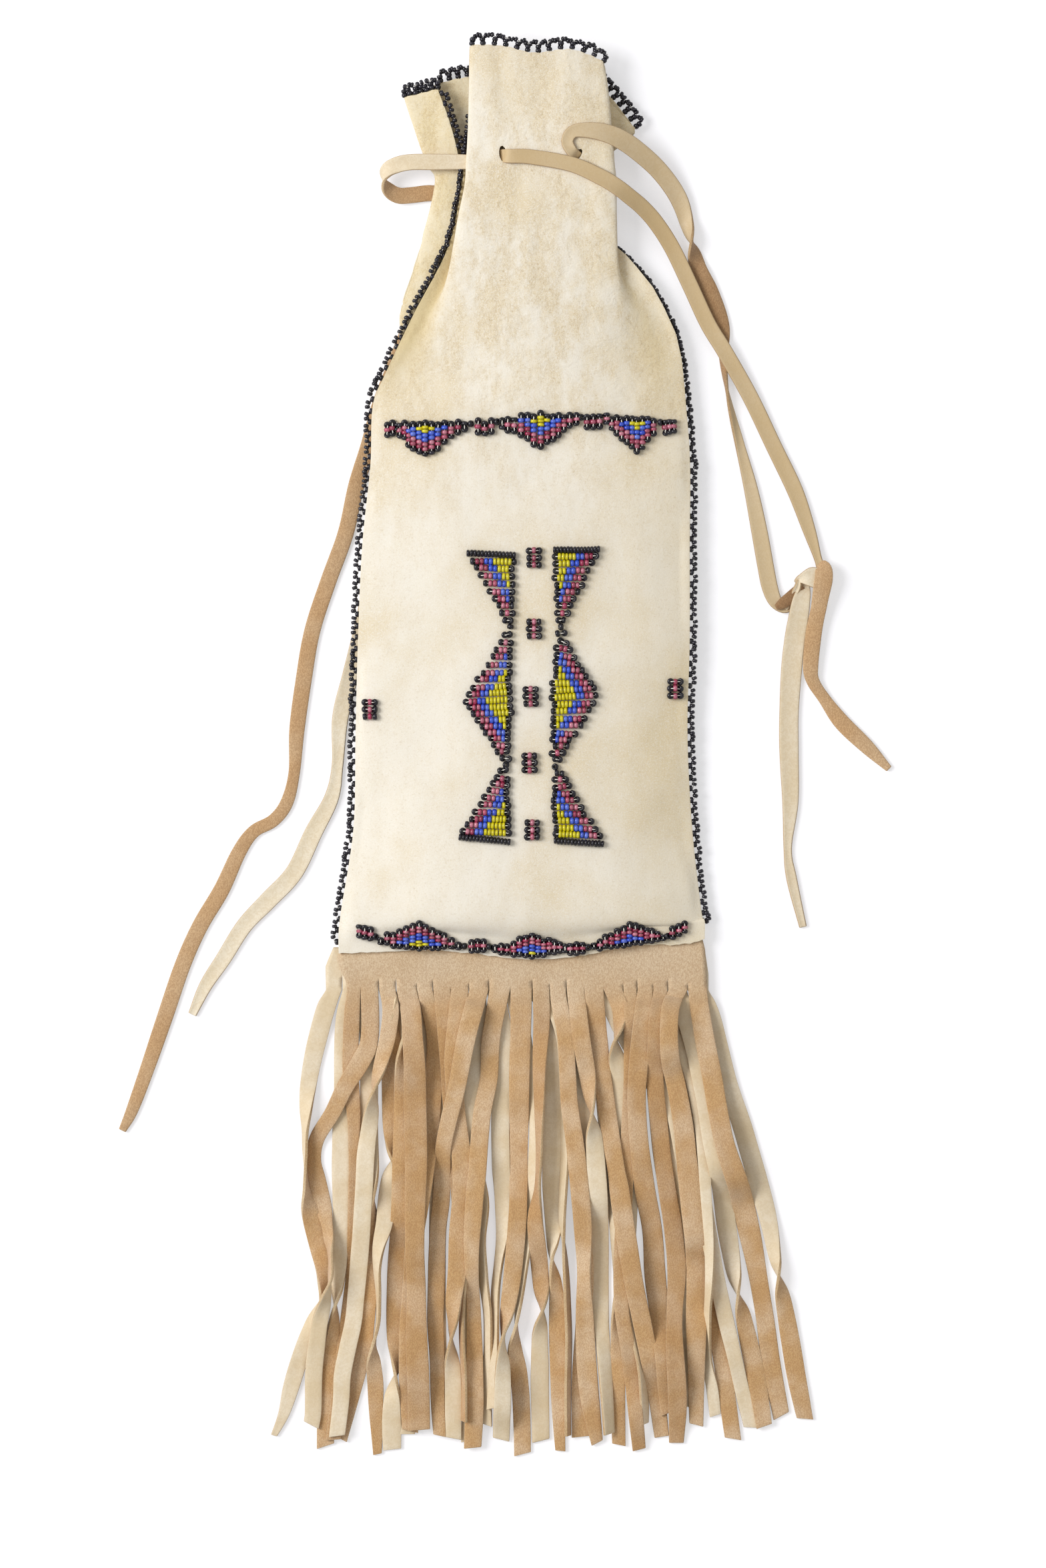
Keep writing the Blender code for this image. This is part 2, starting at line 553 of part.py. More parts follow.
def build_edging(group, front_lines, back_lines):
    black = make_material("black edge beads", BLACK_BEAD_COLOUR, 0.2)
    left = seam_path(LEFT_SEAM_PIXELS, -1, LEFT_LEAN_SHARES)
    right = seam_path(RIGHT_SEAM_PIXELS, 1, [0.0] * len(RIGHT_SEAM_PIXELS))
    string_beads("left_seam_beads", group, black, *left, EDGE_REACH)
    string_beads("right_seam_beads", group, black, *right, EDGE_REACH)
    front_edge = front_lines[-1][4:13]
    string_beads("mouth_front_beads", group, black, *edge_path(front_edge, 1), MOUTH_REACH)
    back_edge = back_lines[-1][4:13]
    string_beads("mouth_back_beads", group, black, *edge_path(back_edge, 1), MOUTH_REACH)
    ear = [place(EAR_EDGE_PIXELS[0], back_lines[-1][2].z), back_lines[-1][0]]
    string_beads("mouth_ear_beads", group, black, *edge_path(ear, 1), MOUTH_REACH)
    rise = BAG_LOFT * BACK_NECK_SHARES[-1][0]
    slit_back = [place(pixel, rise) for pixel in SLIT_BACK_PIXELS]
    string_beads("slit_back_beads", group, black, *edge_path(slit_back, 1), EDGE_REACH)
    rise = BAG_LOFT * FRONT_NECK_SHARES[-2][0]
    slit_front = [place(pixel, rise) for pixel in SLIT_FRONT_PIXELS]
    string_beads("slit_front_beads", group, black, *edge_path(slit_front, -1), EDGE_REACH)


class Lanes:
    """Lays groups of bead lanes on the front panel."""

    def __init__(self, group, panel):
        bpy.context.view_layer.update()
        graph = bpy.context.evaluated_depsgraph_get()
        self.tree = BVHTree.FromObject(panel, graph)
        self.group = group
        self.material = make_material("lane beads", ROSE_BEAD_COLOUR, 0.25)

    def seat(self, spot):
        """Height of the panel's outer face under a point."""
        above = Vector((spot.x, spot.y, 2 * BAG_LOFT))
        hit = self.tree.ray_cast(above, Vector((0, 0, -1)))
        return hit[0].z

    def lay(self, name, pixel, along, across, pitch, counts, centred=False):
        """Loft one ridge for each lane; lanes follow one another across, beads run along."""
        start = place(pixel)
        vertices = []
        stations = 0
        for lane, count in enumerate(counts):
            middle = (lane - (len(counts) - 1) / 2) * pitch
            low = -count / 2 if centred else 0.0
            ends = (low * BEAD_LENGTH, (low + count) * BEAD_LENGTH)
            half = pitch / 2 - LANE_STEP / 2
            for step, rise in ((-half, LANE_VALLEY), (0.0, BEAD_HEIGHT), (half, LANE_VALLEY)):
                base = start + across * (middle + step)
                near = base + along * ends[0]
                far = base + along * ends[1]
                for spot, top in ((near, 0.0), (near, rise), (far, rise), (far, 0.0)):
                    vertices.append(spot + Vector((0, 0, self.seat(spot) + CLEARANCE + top)))
                stations += 1
        faces = [(0, 1, 2, 3)]
        for station in range(stations - 1):
            for side in range(4):
                a = station * 4 + side
                b = station * 4 + (side + 1) % 4
                faces.append((a, a + 4, b + 4, b))
        last = (stations - 1) * 4
        faces.append((last + 3, last + 2, last + 1, last))
        thing = add_mesh(name, self.group, self.material, vertices, faces)
        shape = bmesh.new()
        shape.from_mesh(thing.data)
        bmesh.ops.recalc_face_normals(shape, faces=shape.faces)
        shape.to_mesh(thing.data)
        shape.free()


def build_beadwork(group, front):
    lanes = Lanes(group, front)
    right = Vector((1, 0, 0))
    left = Vector((-1, 0, 0))
    up = Vector((0, 1, 0))
    down = Vector((0, -1, 0))
    column_pitch = BAG_WIDTH * COLUMN_PITCH_SHARE
    hem_pitch = BAG_WIDTH * HEM_PITCH_SHARE
    for number, pixel in enumerate(TOP_GROUP_PIXELS):
        counts = (TOP_LANES[1:-1], TOP_LANES, STEEP_LANES)[number]
        lanes.lay(f"top_triangle_{number + 1}", pixel, down, right, column_pitch, counts)
    for number, pixel in enumerate(TOP_SPACER_PIXELS):
        name = f"top_spacer_{number + 1}"
        lanes.lay(name, pixel, down, right, column_pitch, SPACER_LANES, centred=True)
    for number, pixel in enumerate(HEM_GROUP_PIXELS):
        name = f"hem_triangle_{number + 1}"
        lanes.lay(name, pixel, up, right, hem_pitch, HEM_LANES)
    for number, pixel in enumerate(HEM_SPACER_PIXELS):
        name = f"hem_spacer_{number + 1}"
        lanes.lay(name, pixel, up, right, hem_pitch, SPACER_LANES, centred=True)
    columns = (("left", LEFT_COLUMN_PIXELS, left), ("right", RIGHT_COLUMN_PIXELS, right))
    groups = (
        ("upper_wing", UPPER_LANES), ("diamond", MIDDLE_LANES), ("lower_wing", UPPER_LANES[::-1]),
    )
    for side, pixels, along in columns:
        top = COLUMN_TOP_PIXEL
        for pixel, (name, counts) in zip(pixels, groups):
            rows = len(counts) * LANE_PITCH / Y_PER_PIXEL
            spot = (pixel, top + rows / 2)
            lanes.lay(f"{side}_{name}", spot, along, down, LANE_PITCH, counts)
            top += rows + CLEARANCE / Y_PER_PIXEL
    for number, pixel in enumerate(CENTRE_SPACER_PIXELS):
        name = f"centre_spacer_{number + 1}"
        lanes.lay(name, pixel, right, down, LANE_PITCH, SPACER_LANES, centred=True)
    for number, pixel in enumerate(SIDE_SPACER_PIXELS):
        name = f"side_spacer_{number + 1}"
        lanes.lay(name, pixel, right, down, LANE_PITCH, SPACER_LANES, centred=True)


def flat_outline(name, group, material, points, thickness):
    """A flat closed outline with its thickness, made from a 2D curve."""
    curve = bpy.data.curves.new(name, "CURVE")
    curve.dimensions = "2D"
    curve.fill_mode = "BOTH"
    curve.extrude = thickness / 2
    curve.materials.append(material)
    spline = curve.splines.new("POLY")
    spline.points.add(len(points) - 1)
    for point, spot in zip(spline.points, points):
        point.co = (spot[0], spot[1], 0, 1)
    spline.use_cyclic_u = True
    thing = bpy.data.objects.new(name, curve)
    group.objects.link(thing)
    return thing


def strand_sides(cuts, tips):
    """Centre line and half widths of each strand in the fold line's own plane."""
    fold = place((0, FOLD_PIXEL)).y
    for number, tip in enumerate(tips):
        low = place((cuts[number], 0)).x
        high = place((cuts[number + 1], 0)).x
        top = (low + high) / 2
        end = place(tip).x
        length = (tip[1] - FOLD_PIXEL) * FRINGE_PER_PIXEL
        yield fold, top, end, (high - low - CLEARANCE) / 2, length


def comb_points(cuts, cut_tops, tips):
    """Outline of a fringe: the fold line, then down and up round every strand."""
    points = []
    for number, (_, top, end, half, length) in enumerate(strand_sides(cuts, tips)):
        start = CLEARANCE / 2
        side = []
        for share in STRAND_BEND_SHARES:
            middle = top + (end - top) * share ** STRAND_BEND_POWER
            fill = STRAND_FILL_SHARE + (TIP_FILL_SHARE - STRAND_FILL_SHARE) * share
            width = half if share == 0.0 else half * fill
            side.append((middle, -length * share, width))
        starts = []
        for edge in (number - 1, number):
            inside = 0 <= edge < len(cut_tops)
            starts.append((cut_tops[edge] - FOLD_PIXEL) * FRINGE_PER_PIXEL if inside else start)
        left = [(x - w, y) for x, y, w in side]
        right = [(x + w, y) for x, y, w in side]
        left[0] = (left[0][0], -starts[0])
        right[0] = (right[0][0], -starts[1])
        points.extend(left)
        points.extend(reversed(right))
    first = place((cuts[0], 0)).x
    last = place((cuts[-1], 0)).x
    points.append((last - CLEARANCE / 2, FOLD_MARGIN))
    points.append((first + CLEARANCE / 2, FOLD_MARGIN))
    return points


def build_fringe(group, name, material, cuts, cut_tops, tips, height, rest_height):
    """One fringe: a comb on the fold line and the tab sewn into the hem above it."""
    comb = flat_outline(name, group, material, comb_points(cuts, cut_tops, tips), HIDE)
    comb.location = (0, place((0, FOLD_PIXEL)).y, height)
    comb.rotation_euler = (math.atan2(height - rest_height, FRINGE_LENGTH), 0, 0)
    low = place((0, FOLD_PIXEL)).y + FOLD_MARGIN + FOLD_GAP
    sides = ((cuts[0], 0), (cuts[-1], -1))
    points = [(place((x, 0)).x, low) for x, _ in sides]
    inner = [place(pixel).y + FRINGE_TAB for pixel in FRONT_HEM_PIXELS]
    spots = [place(pixel).x for pixel in FRONT_HEM_PIXELS]
    spots[0] = max(spots[0], points[0][0])
    spots[-1] = min(spots[-1], points[1][0])
    points.append((points[1][0], inner[-1]))
    for spot, top in reversed(list(zip(spots, inner))[1:-1]):
        points.append((spot, top))
    points.append((points[0][0], inner[0]))
    tab = flat_outline(name + "_tab", group, material, points, HIDE)
    tab.location = (0, 0, height)


def build_fringes(group):
    suede = make_material("tan suede", SUEDE_COLOUR, 0.95)
    pale = make_material("pale suede", PALE_SUEDE_COLOUR, 0.8)
    table = HIDE / 2
    above = table + HIDE + CLEARANCE
    build_fringe(group, "front_fringe", suede, FRONT_CUT_PIXELS, FRONT_CUT_TOP_PIXELS,
                 FRONT_TIP_PIXELS, FRONT_TAB_HEIGHT, above)
    build_fringe(group, "back_fringe", pale, BACK_CUT_PIXELS, FRONT_CUT_TOP_PIXELS,
                 BACK_TIP_PIXELS, BACK_TAB_HEIGHT, table)


def add_thong(name, group, material, route):
    """A flat thong: a curve given its width by extrude and its rounded edges by bevel."""
    curve = bpy.data.curves.new(name, "CURVE")
    curve.dimensions = "3D"
    curve.twist_mode = "Z_UP"
    curve.extrude = (THONG_WIDTH - THONG_THICKNESS) / 2
    curve.bevel_depth = THONG_THICKNESS / 2
    curve.bevel_resolution = 0
    curve.use_fill_caps = True
    curve.materials.append(material)
    spline = curve.splines.new("POLY")
    spline.points.add(len(route) - 1)
    for point, (x, y, height, share) in zip(spline.points, route):
        point.co = (*place((x, y), height * MILLIMETRE), 1.0)
        point.radius = share
        point.tilt = math.pi / 2
    thing = bpy.data.objects.new(name, curve)
    group.objects.link(thing)
    return thing


def build_thongs(group):
    hide = make_material("thong hide", THONG_COLOUR, 0.7)
    add_thong("right_thong", group, hide, RIGHT_THONG_ROUTE)
    add_thong("looped_thong", group, hide, LOOPED_THONG_ROUTE)
    add_thong("left_long_thong", group, hide, LEFT_LONG_ROUTE)
    add_thong("left_short_thong", group, hide, LEFT_SHORT_ROUTE)
    add_thong("right_long_tail", group, hide, LONG_TAIL_ROUTE)
    add_thong("right_short_tail", group, hide, SHORT_TAIL_ROUTE)
    outline = [tuple(place(pixel))[:2] for pixel in KNOT_PIXELS]
    knot = flat_outline("thong_knot", group, hide, outline, KNOT_THICKNESS - 2 * KNOT_ROUNDING)
    knot.data.bevel_depth = KNOT_ROUNDING
    knot.data.bevel_resolution = 2
    knot.data.offset = -KNOT_ROUNDING
    knot.location = (0, 0, KNOT_THICKNESS / 2 + CLEARANCE)


def main():
    clear_scene()
    group = new_collection("beaded_pipe_bag")
    front, front_lines, back_lines = build_panels(group)
    build_edging(group, front_lines, back_lines)
    build_beadwork(group, front)
    build_fringes(group)
    build_thongs(group)


main()
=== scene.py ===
"""Beaded hide pipe bag: soft forms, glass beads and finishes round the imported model.

The bag lies on its back, mouth towards +Y and front face up. Two hide panels, two layers of cut
fringe, four flat thongs with their knot, and every seed bead are modelled here, in metres.
Outlines are read in photograph pixels, and PhotoScale turns them into places on the bag.
"""

import logging
import math
from dataclasses import dataclass, field
from enum import Enum

import bmesh
import bpy
import numpy as np
from mathutils import Matrix, Vector, noise
from mathutils.bvhtree import BVHTree


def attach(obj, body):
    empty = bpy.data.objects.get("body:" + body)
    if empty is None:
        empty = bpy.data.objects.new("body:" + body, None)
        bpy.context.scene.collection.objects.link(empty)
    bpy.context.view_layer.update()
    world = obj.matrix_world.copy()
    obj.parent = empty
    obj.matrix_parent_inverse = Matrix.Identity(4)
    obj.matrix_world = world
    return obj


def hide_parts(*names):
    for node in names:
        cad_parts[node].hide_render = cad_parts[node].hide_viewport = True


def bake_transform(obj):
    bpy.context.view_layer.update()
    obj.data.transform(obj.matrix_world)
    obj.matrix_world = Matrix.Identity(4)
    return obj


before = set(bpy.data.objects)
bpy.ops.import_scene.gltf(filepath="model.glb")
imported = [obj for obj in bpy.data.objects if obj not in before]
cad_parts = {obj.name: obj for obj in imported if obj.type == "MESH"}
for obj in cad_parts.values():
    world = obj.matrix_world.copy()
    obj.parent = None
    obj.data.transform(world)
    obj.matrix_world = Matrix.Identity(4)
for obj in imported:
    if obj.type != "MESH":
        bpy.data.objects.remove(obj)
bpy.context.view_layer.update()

LOG = logging.getLogger("pipe_bag")

MM = 0.001
UP = Vector((0.0, 0.0, 1.0))
ACROSS = np.array([1, 0, 0])
IMAGE_PIXELS = (1568, 2351)
HIDE_THICKNESS = 1.1 * MM
SEAM_GAP = 0.3 * MM
BAG_LOFT = 12 * MM
SEAM_HEIGHT = 5.4 * MM
FOLD_ROWS = (1444, 1464)
CUT_ANGLE = math.radians(55)
ROUNDED_EDGE = 0.3 * MM


@dataclass(frozen=True)
class PhotoScale:
    """Where a pixel of the photograph lies on the bag."""

    origin: tuple[float, float] = (784.0, 1048.0)
    across: float = 117 * MM / 509
    along: float = 311 * MM / 1352

    def place(self, x: float, y: float, height: float = 0.0) -> Vector:
        """Turn a pixel and a height into a point.

        Args:
            x: Pixel column.
            y: Pixel row.
            height: Height over the table in metres.

        Returns:
            The point in the bag's frame.
        """
        left, top = self.origin
        return Vector(((x - left) * self.across, (top - y) * self.along, height))


SCALE = PhotoScale()


class Glass(Enum):
    """The colours of the seed beads, in the order of their material slots."""

    BLACK = 0
    ROSE = 1
    BLUE = 2
    YELLOW = 3


# Helpers for curves and meshes


def spline(keys: np.ndarray, cuts: int) -> np.ndarray:
    """Run a Catmull-Rom curve through keys along their first axis.

    Args:
        keys: Array whose first axis is the list of keys.
        cuts: Number of steps in each span.

    Returns:
        The samples, with the same trailing axes as the keys.
    """
    ends = np.concatenate([2 * keys[:1] - keys[1:2], keys, 2 * keys[-1:] - keys[-2:-1]])
    share = np.arange(cuts) / cuts
    share = share.reshape((1, cuts) + (1,) * (keys.ndim - 1))
    before, start, end, after = (ends[i:len(ends) - 3 + i, None] for i in range(4))
    curve = (
        start * 2
        + (end - before) * share
        + (before * 2 - start * 5 + end * 4 - after) * share ** 2
        + (start * 3 - before - end * 3 + after) * share ** 3
    ) / 2
    return np.concatenate([curve.reshape((-1,) + keys.shape[1:]), keys[-1:]])


def resample(line: np.ndarray, step: float) -> np.ndarray:
    """Space samples evenly along a line, by the length of its first three numbers.

    Args:
        line: Samples in order, each a point followed by any other values.
        step: Wanted distance between samples.

    Returns:
        Samples about that far apart, both ends kept.
    """
    lengths = np.linalg.norm(np.diff(line[:, :3], axis=0), axis=1)
    run = np.concatenate([[0.0], np.cumsum(lengths)])
    count = max(2, int(round(run[-1] / step)) + 1)
    goals = np.linspace(0.0, run[-1], count)
    return np.stack([np.interp(goals, run, line[:, i]) for i in range(line.shape[1])], axis=1)


def smoothstep(low: float, high: float, value: np.ndarray) -> np.ndarray:
    """Ease from 0 at low to 1 at high."""
    share = np.clip((value - low) / (high - low), 0.0, 1.0)
    return share * share * (3 - 2 * share)


def fill_in(keys: tuple, length: int) -> list[tuple]:
    """Complete keys that leave out their last values, which then stay as in the key before.

    Args:
        keys: Keys in order; what the first one leaves out is 0.
        length: Number of values in a full key.

    Returns:
        The full keys.
    """
    full = [(0,) * length]
    for key in keys:
        full.append((*key, *full[-1][len(key):]))
    return full[1:]


def soften(values: np.ndarray, reach: int) -> np.ndarray:
    """Average each value of a list with its neighbours.

    Args:
        values: One value for each station.
        reach: How many stations to each side count.

    Returns:
        The averaged values.
    """
    kernel = np.hanning(2 * reach + 3)[1:-1]
    padded = np.concatenate([np.full(reach, values[0]), values, np.full(reach, values[-1])])
    return np.convolve(padded, kernel / kernel.sum(), mode="valid")


def waves(points: np.ndarray, size: float, seed: float, octaves: int = 2) -> np.ndarray:
    """Smooth noise at points, about -1 to 1, from a fixed seed.

    Args:
        points: Array of points, its last axis three long.
        size: Size of one swell in metres.
        seed: Offset that makes this field unlike the others.
        octaves: Number of finer layers added.

    Returns:
        One value for each point.
    """
    flat = points.reshape(-1, 3) / size + seed
    values = [noise.fractal(Vector(spot), 1.0, 2.0, octaves) for spot in flat]
    return np.array(values).reshape(points.shape[:-1])


def swells(points: np.ndarray, shape: tuple[float, float], seed: float) -> np.ndarray:
    """Smooth noise at points in metres, its shape given as swell size and height in mm."""
    return waves(points, shape[0], seed) * shape[1] * MM


def grid_faces(rows: int, columns: int, start: int = 0) -> np.ndarray:
    """Quads of a grid whose points are numbered row by row."""
    number = start + np.arange(rows * columns).reshape(rows, columns)
    corners = (number[:-1, :-1], number[:-1, 1:], number[1:, 1:], number[1:, :-1])
    return np.stack(corners, axis=-1).reshape(-1, 4)


def grid_normals(points: np.ndarray) -> np.ndarray:
    """Unit normals of a grid of points."""
    along = np.gradient(points, axis=0)
    across = np.gradient(points, axis=1)
    normals = np.cross(across, along)
    return normals / np.maximum(np.linalg.norm(normals, axis=-1, keepdims=True), 1e-12)


def deselect() -> None:
    """Leave nothing selected and no object in edit mode."""
    if bpy.context.object and bpy.context.object.mode != "OBJECT":
        bpy.ops.object.mode_set(mode="OBJECT")
    bpy.ops.object.select_all(action="DESELECT")


def pick(thing: bpy.types.Object) -> None:
    """Make one object the selected and active one."""
    deselect()
    thing.select_set(True)
    bpy.context.view_layer.objects.active = thing


def apply_modifiers(thing: bpy.types.Object) -> None:
    """Apply every modifier of an object in order."""
    pick(thing)
    for modifier in list(thing.modifiers):
        bpy.ops.object.modifier_apply(modifier=modifier.name)


def mesh_piece(
    name: str, vertices: np.ndarray, faces: list, materials: list[bpy.types.Material]
) -> bpy.types.Object:
    """Make a smooth-shaded object from points and faces.

    Args:
        name: Name of the piece.
        vertices: Array of points.
        faces: Faces as lists of point numbers.
        materials: Its material slots in order.

    Returns:
        The new object, at the origin.
    """
    mesh = bpy.data.meshes.new(name)
    mesh.from_pydata([tuple(map(float, spot)) for spot in vertices], [],
                     [list(map(int, face)) for face in faces])
    for material in materials:
        mesh.materials.append(material)
    mesh.shade_smooth()
    thing = bpy.data.objects.new(name, mesh)
    bpy.context.scene.collection.objects.link(thing)
    return thing


def give_thickness(
    thing: bpy.types.Object, rounding: float = ROUNDED_EDGE, rounded_below: float = math.inf
) -> None:
    """Turn an open sheet into hide of its real thickness with softly rounded cut edges.

    Its material slots are the upper side, the lower side and the cut edge.

    Args:
        thing: The open sheet.
        rounding: Radius of the rounded edge.
        rounded_below: Only cut edges with a smaller Y than this are rounded.
    """
    shell = thing.modifiers.new("thickness", "SOLIDIFY")
    shell.thickness = HIDE_THICKNESS
    shell.offset = 0.0
    shell.material_offset = 1
    shell.material_offset_rim = 2
    apply_modifiers(thing)
    shape = bmesh.new()
    shape.from_mesh(thing.data)
    weight = shape.edges.layers.float.new("bevel_weight_edge")
    for edge in shape.edges:
        cut = len(edge.link_faces) == 2 and edge.calc_face_angle() > CUT_ANGLE
        edge[weight] = float(cut and edge.verts[0].co.y < rounded_below)
    shape.to_mesh(thing.data)
    shape.free()
    edge = thing.modifiers.new("rounded edge", "BEVEL")
    edge.width = rounding
    edge.segments = 2
    edge.limit_method = "WEIGHT"
    edge.use_clamp_overlap = True
    apply_modifiers(thing)


def settle(thing: bpy.types.Object, body: str, nodes: list[str]) -> bpy.types.Object:
    """Attach a finished piece to its body and hide the CAD nodes that it stands for.

    Args:
        thing: The finished piece.
        body: Body that carries it.
        nodes: Nodes that it replaces.

    Returns:
        The piece.
    """
    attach(thing, body)
    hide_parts(*nodes)
    LOG.info("%s: %d faces, rides on %s", thing.name, len(thing.data.polygons), body)
    return thing


# Finishes

Feed = float | tuple | bpy.types.NodeSocket
CLOUD_RANGE = (0.35, 0.7)


def hex_colour(code: str) -> tuple[float, float, float, float]:
    """Turn an sRGB hex value such as "EFE6CF" into linear RGBA."""
    channels = [int(code[i:i + 2], 16) / 255 for i in (0, 2, 4)]
    linear = [c / 12.92 if c <= 0.04045 else ((c + 0.055) / 1.055) ** 2.4 for c in channels]
    return (*linear, 1.0)


def add_node(
    tree: bpy.types.NodeTree, kind: str, links: dict | None = None, **settings
) -> bpy.types.Node:
    """Add one node with its settings and what feeds it.

    Args:
        tree: Node tree that gets the node.
        kind: Blender's name of the node type.
        links: Input name or number to a value or to an output socket.
        **settings: Properties of the node.

    Returns:
        The new node.
    """
    node = tree.nodes.new(kind)
    for name, value in settings.items():
        setattr(node, name, value)
    for key, value in (links or {}).items():
        socket = node.inputs[key]
        if isinstance(value, bpy.types.NodeSocket):
            tree.links.new(value, socket)
        else:
            socket.default_value = value
    return node


def ramp(
    tree: bpy.types.NodeTree, feed: bpy.types.NodeSocket, low: float, high: float
) -> bpy.types.NodeSocket:
    """Stretch the part of a value between low and high over 0 to 1."""
    links = {0: feed, 1: low, 2: high}
    return add_node(tree, "ShaderNodeMapRange", links, interpolation_type="SMOOTHSTEP").outputs[0]


def clouds(
    tree: bpy.types.NodeTree, place: bpy.types.NodeSocket, size: float, detail: float = 2.0,
    rough: float = 0.5, swirl: float = 0.0
) -> bpy.types.NodeSocket:
    """Cloudy noise whose features are of a real size."""
    links = {"Vector": place, "Scale": 1 / size, "Detail": detail, "Roughness": rough,
             "Distortion": swirl}
    return add_node(tree, "ShaderNodeTexNoise", links).outputs[0]


def calculate(tree: bpy.types.NodeTree, operation: str, *values: Feed) -> bpy.types.NodeSocket:
    """One sum of the node tree on values or sockets."""
    return add_node(tree, "ShaderNodeMath", dict(enumerate(values)), operation=operation).outputs[0]


def creases(tree: bpy.types.NodeTree, noise_value: bpy.types.NodeSocket) -> bpy.types.NodeSocket:
    """Distance of a noise value from its middle, which is 0 along fine winding lines."""
    return calculate(tree, "ABSOLUTE", calculate(tree, "SUBTRACT", noise_value, 0.5))


def attribute(tree: bpy.types.NodeTree, name: str) -> bpy.types.NodeSocket:
    """A value that is stored at each point of the piece."""
    return add_node(tree, "ShaderNodeAttribute", attribute_name=name).outputs["Fac"]


def stretch(tree: bpy.types.NodeTree, place: bpy.types.NodeSocket, scale: tuple,
            turn: float = 0.0) -> bpy.types.NodeSocket:
    """Places turned by some degrees and scaled, so that noise on them is drawn out."""
    links = {"Vector": place, "Rotation": (0.0, 0.0, math.radians(turn)), "Scale": scale}
    return add_node(tree, "ShaderNodeMapping", links).outputs[0]


def mix(tree: bpy.types.NodeTree, share: Feed, first: Feed, second: Feed) -> bpy.types.NodeSocket:
    """Blend two colours by a share; each may be a value or a socket."""
    node = add_node(tree, "ShaderNodeMix", {0: share, 6: first, 7: second}, data_type="RGBA")
    return node.outputs[2]


@dataclass
class Recipe:
    """A material in the making: its node tree, its shader and where each point of it lies."""

    name: str
    roughness: float
    sheen: tuple[float, float] = (0.0, 0.5)

    def __post_init__(self) -> None:
        """Start the material."""
        self.material = bpy.data.materials.new(self.name)
        self.material.use_nodes = True
        self.tree = self.material.node_tree
        self.shader = self.tree.nodes["Principled BSDF"]
        self.place = add_node(self.tree, "ShaderNodeTexCoord").outputs["Object"]
        self.put("Roughness", self.roughness)
        self.put("Sheen Weight", self.sheen[0])
        self.put("Sheen Roughness", self.sheen[1])

    def put(self, name: str, value: float) -> None:
        """Set one value of the shader."""
        self.shader.inputs[name].default_value = value

    def coat(self, colour: bpy.types.NodeSocket) -> None:
        """Give the shader its colour."""
        self.tree.links.new(colour, self.shader.inputs["Base Color"])

    def emboss(self, height: bpy.types.NodeSocket, strength: float, depth: float) -> None:
        """Give the shader its relief, of a real depth."""
        links = {"Height": height, "Strength": strength, "Distance": depth}
        bump = add_node(self.tree, "ShaderNodeBump", links)
        self.tree.links.new(bump.outputs[0], self.shader.inputs["Normal"])


